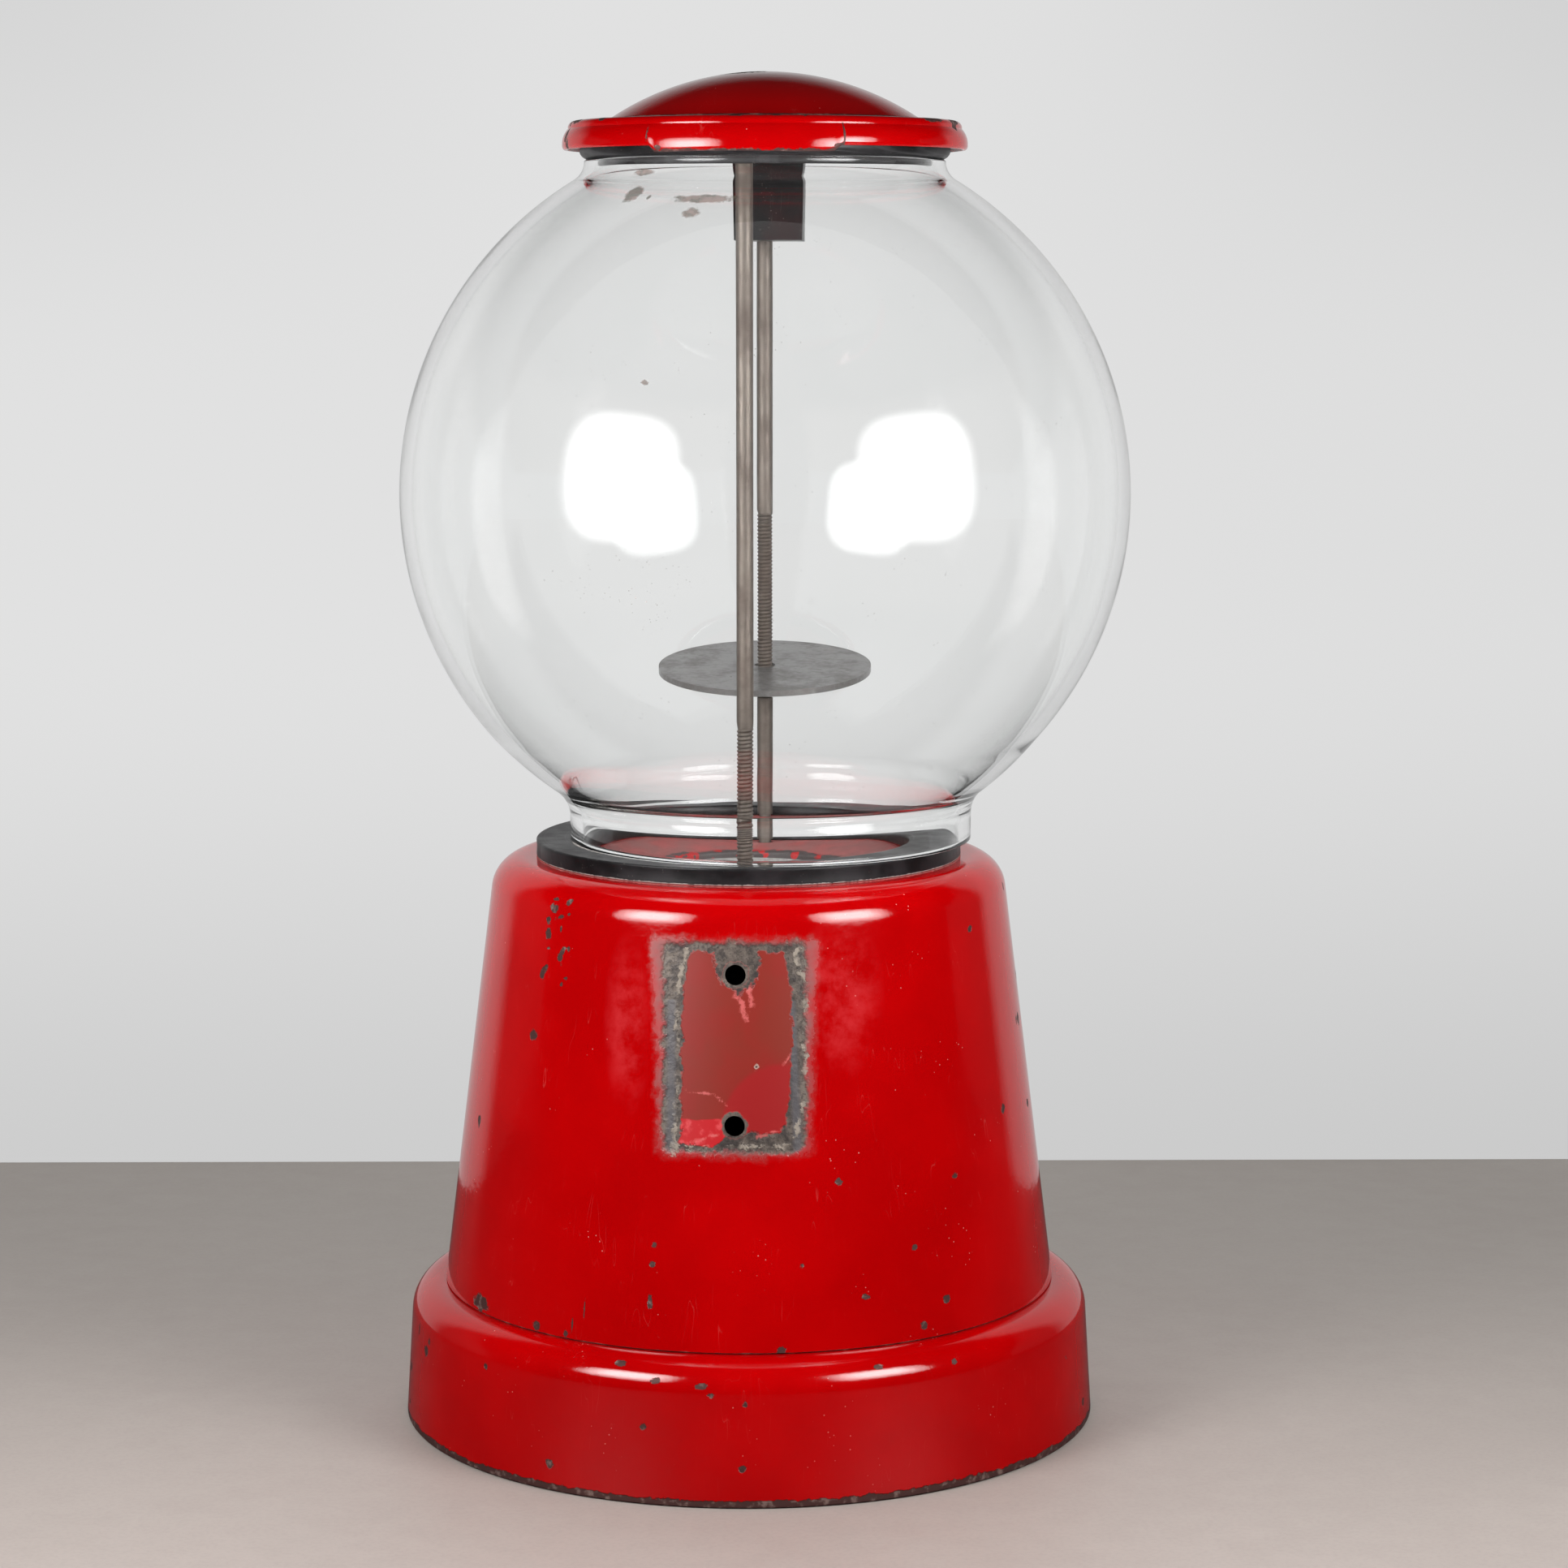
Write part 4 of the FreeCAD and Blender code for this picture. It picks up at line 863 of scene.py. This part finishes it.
lid_line = outline(
    (0.01, DOME_TOP - LID_SHEET), ((0.01, DOME_TOP), 2.0), (dome(foot / 2, DOME_R), (foot, LID_RIM), 44),
    ((54.2, LID_RIM), 0.8), ((55.6, LID_RIM - 0.5), (LID_RIM_R, LID_RIM - 2.2), 8),
    ((57.65, 371.6), (LID_LOW_R, 369.5), 10),
    ((LID_LOW_R - 0.2, 368.6), (LID_LOW_R - 0.6, LID_LOW), 4),
    ((LID_LOW_R - LID_SHEET, LID_LOW), 0.5), ((LID_LOW_R - LID_SHEET - 0.1, 369.0), 0.5),
    ((55.9, 371.4), (LID_RIM_R - LID_SHEET, LID_RIM - 2.4), 6),
    ((54.0, 375.0), (53.2, LID_RIM - LID_SHEET), 4), ((foot_under, LID_RIM - LID_SHEET), 2.0),
    (dome(foot_under / 2, under), (0.01, DOME_TOP - LID_SHEET), 20))
TORN = (-31.0, 24.0)


def bent_rim(r, z, t):
    """Rim pulled down between two tears on -Y: the lowest 6 mm move down by up to 1.7 mm there."""
    bearing = np.degrees(np.arctan2(np.cos(t), -np.sin(t)))
    pulled = np.clip((bearing - TORN[0]) / 1.4, 0, 1) * np.clip((TORN[1] - bearing) / 2.2, 0, 1)
    low = np.clip((374.0 - z) / 6.0, 0, 1) * (r > 53.0)
    wave = 0.12 * np.sin(np.radians(bearing) * 9.0)
    return r - PULL_IN * pulled * low, z - (PULL * pulled + wave * pulled) * low


lid = turned("enamel_lid", lid_line, spokes(360, 0.4), (SHIFT, 0.0), shape=bent_rim)
merge(lid, 0.00003)
pierce(lid, [plug_mesh("cut_lock", (SHIFT, LOCK_Y, 380.0), (0, 0, 1), LOCK_R, 30.0, 64)])
soften(lid)
LID_CHIPS = [
    (-70.0, 376.3, 4.6, 1.0), (-52.0, 376.3, 2.0, 0.8), (60.0, 376.4, 5.0, 1.2), (76.0, 376.2, 4.5, 1.3),
    (-6.0, 376.6, 2.6, 0.6), (1.0, 376.6, 2.2, 0.6), (6.0, 376.5, 1.6, 0.5), (14.0, 376.4, 0.8, 0.5),
    (-31.4, 371.5, 0.35, 3.4), (24.6, 371.0, 0.35, 3.2), (-28.0, 367.6, 1.0, 0.7), (23.0, 367.8, 1.6, 0.8),
]
lp = points_of(lid)
lid_field = chip_field(lp, LID_CHIPS + scattered(16, (70, 290), (368, 377), (0.6, 2.0)), SHIFT)
# chips of the rim end soon after its edge on the flat ledge
in_from_edge = np.clip(53.6 - np.hypot(lp[:, 0] - SHIFT, lp[:, 1]), 0.0, None)
lid_field -= 0.45 * in_from_edge * (lp[:, 2] > LID_RIM - 0.3)
crown = 1.0 - np.hypot((lp[:, 0] - SHIFT + 5.0) / 6.5, (lp[:, 1] + 6.0) / 5.0)
lid_field = np.maximum(lid_field, np.where(lp[:, 2] > 388.5, crown, NOWHERE))
paint(lid, "chip", lid_field)
lid.data.materials.append(enamel("red_enamel_lid", (0.3768, 0.0003), bare_edge=0.36720))


# tie rods
def rod(name, at, low, high, thread, groove=None, tail=None):
    """Upright rod: circle of radius ROD_R with a helical thread between the heights in thread, where
    the radius falls by THREAD_DEPTH in a V whose place climbs THREAD_PITCH a turn; groove is a neck
    near the top, tail the height below which the rod is thinner."""
    fine = np.arange(thread[0], thread[1], 0.16)
    rows = np.unique(np.round(np.concatenate((
        [low, low + 0.4], np.arange(low + 4, high - 1, 6.0), fine, [high - 0.4, high],
        np.array(groove) if groove else [], np.array([tail, tail + 0.05]) if tail else [])), 3))
    radius = np.full(len(rows), ROD_R)
    if tail:
        radius[rows <= tail] = 1.8
    if groove:
        radius[(rows > groove[0] + 0.2) & (rows < groove[3] - 0.2)] = 1.5
    radius[[0, -1]] -= 0.35
    rz = np.column_stack((np.concatenate(([0.01], radius, [0.01])),
                          np.concatenate(([rows[0]], rows, [rows[-1]]))))

    def helix(r, z, t):
        """V of the thread: deepest in the middle of each turn."""
        turn = (z / THREAD_PITCH - t / (2 * math.pi)) % 1.0
        cut = (z > thread[0]) & (z < thread[1]) & (r > 2.0)
        return r - THREAD_DEPTH * (1 - np.abs(2 * turn - 1)) * cut, z

    piece = turned(name, rz, spokes(28), at, close_rows=False, shape=helix)
    merge(piece, 0.00001)
    soften(piece, 40)
    return piece


front_rod = rod("tie_rod_front", FRONT_ROD, ROD_FOOT, 374.0, (166.0, 207.0))
rear_rod = rod("tie_rod_rear", REAR_ROD, ROD_FOOT, 354.0, (206.0, 262.0),
               groove=[348.9, 349.15, 351.85, 352.1], tail=168.0)
rod_steel = metal_finish("rod_steel", rgb(98, 90, 84), rgb(72, 60, 54), 40.0, 0.45, (0.5, 0.6),
                         lines=(1100.0, 1100.0, 9.0), bright=0.8, depth=0.002, specks=0.1)
front_rod.data.materials.append(rod_steel)
rear_rod.data.materials.append(rod_steel)

# what each piece stands for
for piece, body_name, node, slot in (
        (base, "stand", "base_skirt", "red_enamel"), (body, "stand", "body_shell", "red_enamel"),
        (seat_ring, "stand", "globe_gasket", "black_rubber"), (globe, "stand", "globe", "clear_glass"),
        (lid, "lid", "lid_shell", "red_enamel"), (lid_ring, "lid", "lid_gasket", "black_rubber"),
        (front_rod, "stand", "front_rod", "worn_steel"), (rear_rod, "stand", "rear_rod", "worn_steel")):
    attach(piece, body_name)
    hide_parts(node)

# finishes of the solids that stay
disc_steel = metal_finish("disc_steel", rgb(134, 132, 132), rgb(106, 102, 100), 70.0, 0.45, (0.3, 0.46))
BY_SLOT = {
    "zinc_sheet": metal_finish("zinc_sheet_dull", rgb(170, 172, 174), rgb(126, 124, 122), 60.0, 0.5,
                               (0.4, 0.62), bright=0.65),
    "worn_steel": metal_finish("plain_steel", rgb(146, 142, 138), rgb(92, 84, 78), 110.0, 0.5,
                               (0.36, 0.6), bright=0.65),
    "cast_metal": metal_finish("cast_metal_grey", rgb(168, 166, 164), rgb(124, 121, 118), 130.0, 0.45,
                               (0.45, 0.65), bright=0.55, depth=0.25),
    "polished_metal": metal_finish("polished_chrome", rgb(206, 206, 208), rgb(150, 146, 140), 70.0, 0.25,
                                   (0.2, 0.4), bright=0.7),
    "brass": metal_finish("old_brass", rgb(196, 158, 84), rgb(122, 92, 48), 90.0, 0.45,
                          (0.3, 0.5), bright=0.7),
    "black_case": case_finish(),
}
for part in frame["record"]["subparts"]:
    chosen = BY_SLOT.get(part["material_slot"])
    if chosen and part["node"] in frame["nodes"]:
        thing = frame["nodes"][part["node"]]
        thing.data.materials.clear()
        thing.data.materials.append(disc_steel if part["node"] == "baffle_disc" else chosen)

# stage, light, camera
VIEW = math.radians(2.8)


def sheet_of(name, corners):
    """Flat sheet between four corners, in metres."""
    mesh = bpy.data.meshes.new(name)
    mesh.from_pydata(corners, [], [(0, 1, 2, 3)])
    piece = bpy.data.objects.new(name, mesh)
    bpy.context.scene.collection.objects.link(piece)
    return piece


def across(side, away):
    """Place on the floor: side to the right of the view's middle line, away behind the object."""
    return (side * math.cos(VIEW) - away * math.sin(VIEW),
            side * math.sin(VIEW) + away * math.cos(VIEW))


WALL, GROUND, WIDE = 0.306, -0.0002, 3.0
floor = sheet_of("floor", [(*across(-WIDE, -WIDE), GROUND), (*across(WIDE, -WIDE), GROUND),
                           (*across(WIDE, WALL), GROUND), (*across(-WIDE, WALL), GROUND)])
wall = sheet_of("backdrop", [(*across(-WIDE, WALL), GROUND), (*across(WIDE, WALL), GROUND),
                             (*across(WIDE, WALL), WIDE), (*across(-WIDE, WALL), WIDE)])

floor_mat, f, shader, _ = new_finish("stage_floor")
spot = f.where()
back = f.add("ShaderNodeSeparateXYZ", {0: spot}).outputs[1]
away = f.add("ShaderNodeVectorMath", {0: spot}, operation="LENGTH").outputs["Value"]
# Lighter towards the camera and darker towards the backdrop: painted fall-off of the front lamps' light.
stone = f.blend(f.ramp(back, -0.42, 0.28), rgb(181, 169, 163), rgb(144, 137, 131))
patch = f.plus(f.times(f.noise(7.0, 5.0), 0.6),
               f.times(f.noise(90.0, 4.0), 0.4))
stone = f.blend(f.ramp(patch, 0.4, 0.62, 0.0, 0.09), stone, rgb(120, 108, 102))
grit = f.ramp(f.noise(700.0, 3.0), 0.4, 0.7, 0.0, 0.08)
stone = f.blend(grit, stone, rgb(110, 104, 100))
path = f.add("ShaderNodeLightPath").outputs
# From 0.40 to 0.62 m out from the middle the floor glows with its own colour for camera and transmission
# rays: painted light.
f.feed(shader.inputs["Emission Color"], stone)
seen = f.sums("MAXIMUM", path["Is Camera Ray"], path["Is Transmission Ray"])
distant = f.ramp(away, 0.40, 0.62, 0.0, 1.05)
f.feed(shader.inputs["Emission Strength"], f.times(seen, distant))
# In reflections the floor is seen almost black.
stone = f.blend(f.times(path["Is Glossy Ray"], 0.95), stone, (0.0, 0.0, 0.0, 1))
f.feed(shader.inputs["Base Color"], stone)
f.feed(shader.inputs["Roughness"], f.ramp(f.noise(40.0, 3.0), 0.3, 0.7, 0.54, 0.62))
floor.data.materials.append(floor_mat)

wall_mat = bpy.data.materials.new("stage_wall")
wall_mat.use_nodes = True
wall_mat.node_tree.nodes.clear()
f = Finish(wall_mat.node_tree)
end = f.add("ShaderNodeOutputMaterial")
spot = f.add("ShaderNodeSeparateXYZ", {0: f.where()}).outputs
# The backdrop glows with painted shade: darker near the floor, in its top corners and towards +X, and
# nearly black above 0.45 to 0.62 m.
shade = f.blend(f.ramp(spot[2], -0.02, 0.2), rgb(205, 205, 205), rgb(225, 225, 225))
side = f.ramp(spot[0], -0.1, 0.45)
from_middle = f.sums("ABSOLUTE", spot[0])
corner = f.times(f.ramp(from_middle, 0.06, 0.3), f.ramp(spot[2], 0.28, 0.46))
shade = f.blend(f.times(corner, 0.19), shade, (0.3, 0.3, 0.3, 1))
shade = f.blend(f.times(side, 0.08), shade, (0.3, 0.3, 0.3, 1))
shade = f.blend(f.ramp(spot[2], 0.45, 0.62), shade, (0.02, 0.02, 0.02, 1))
path = f.add("ShaderNodeLightPath").outputs
# Painted light: for diffuse rays the backdrop glows 2.2 times as bright, and in reflections it dims towards
# its sides.
mirrored = f.ramp(from_middle, 0.42, 0.62, 0.78, 0.1)
power = f.mixed(path["Is Camera Ray"], f.mixed(path["Is Glossy Ray"], 2.2, mirrored), 1.0)
power = f.mixed(path["Is Transmission Ray"], power, 1.1)
glow = f.add("ShaderNodeEmission", {"Color": shade, "Strength": power}).outputs[0]
through = f.add("ShaderNodeBsdfTransparent").outputs[0]
behind = f.add("ShaderNodeNewGeometry").outputs["Backfacing"]
front_only = f.add("ShaderNodeMixShader", {0: behind, 1: glow, 2: through}).outputs[0]
f.feed(end.inputs["Surface"], front_only)
wall.data.materials.append(wall_mat)

world = bpy.data.worlds.new("room")
world.use_nodes = True
bpy.context.scene.world = world
world.node_tree.nodes.clear()
f = Finish(world.node_tree)
path = f.add("ShaderNodeLightPath").outputs
pale = f.sums("MAXIMUM", path["Is Camera Ray"], path["Is Transmission Ray"])
level = f.mixed(path["Is Glossy Ray"], 0.13, 0.01)
level = f.mixed(pale, level, 0.7)
ground = f.add("ShaderNodeBackground", {"Color": (1.0, 1.0, 1.0, 1), "Strength": level})
f.feed(f.add("ShaderNodeOutputWorld").inputs["Surface"], ground.outputs[0])

AIM = (SHIFT * MM, 0.0, 0.27)
LAMP_RISE, LAMP_FAR, LAMP_TALL, LAMP_CORNER = 7.0, 0.46, 0.30, 3.2


def softbox(name, turn, wide, radiance):
    """Lamp with round corners at a bearing from -Y, facing the object; its power is radiance x pi x
    area. It doesn't show straight through both walls of the globe."""
    a, e = math.radians(turn), math.radians(LAMP_RISE)
    way = np.array((math.sin(a) * math.cos(e), -math.cos(a) * math.cos(e), math.sin(e)))
    lamp = bpy.data.lights.new(name, "AREA")
    lamp.shape, lamp.size, lamp.size_y = "RECTANGLE", wide, LAMP_TALL
    lamp.energy = radiance * math.pi * wide * LAMP_TALL
    lamp.use_nodes = True
    lamp.node_tree.nodes.clear()
    f = Finish(lamp.node_tree)
    geometry = f.add("ShaderNodeNewGeometry").outputs
    across_it = f.add("ShaderNodeSeparateXYZ", {0: geometry["Parametric"]}).outputs
    powers = []
    for k in (0, 1):
        half = f.sums("ABSOLUTE", f.times(f.minus(across_it[k], 0.5), 2.0))
        powers.append(f.sums("POWER", half, LAMP_CORNER))
    out_from_middle = f.sums("POWER", f.plus(powers[0], powers[1]), 1 / LAMP_CORNER)
    wash = f.ramp(out_from_middle, 0.8, 1.0, 0.6, 0.0)
    core = f.ramp(out_from_middle, 0.3, 0.85, 1.3, 0.0)
    path = f.add("ShaderNodeLightPath").outputs
    level = f.add("ShaderNodeSeparateXYZ", {0: geometry["Incoming"]}).outputs[2]
    both_walls = f.sums("GREATER_THAN", path["Transmission Depth"], 3.5)
    through = f.times(both_walls, f.sums("LESS_THAN", path["Glossy Depth"], 0.5))
    unbent = f.times(through, f.sums("LESS_THAN", f.sums("ABSOLUTE", level), 0.4))
    seen = f.times(f.plus(wash, core), f.minus(1.0, unbent))
    glow = f.add("ShaderNodeEmission", {"Strength": seen}).outputs[0]
    f.feed(f.add("ShaderNodeOutputLight").inputs["Surface"], glow)
    thing = bpy.data.objects.new(name, lamp)
    thing.location = np.array(AIM) + way * LAMP_FAR
    thing.rotation_euler = (math.pi / 2 - e, 0.0, a)
    thing.visible_camera = False
    bpy.context.scene.collection.objects.link(thing)


softbox("softbox_left", -38.5, 0.31, 10.5)
softbox("softbox_right", 46.0, 0.32, 10.0)

eye = bpy.data.cameras.new("camera")
eye.sensor_width, eye.lens = 36.0, 87.83
camera = bpy.data.objects.new("camera", eye)
camera.location = (0.0541, -1.1064, 0.337)
camera.rotation_euler = (math.radians(90 - 7.79), 0.0, math.radians(2.265))
bpy.context.scene.collection.objects.link(camera)
bpy.context.scene.camera = camera
bpy.context.scene.view_settings.view_transform = "Standard"
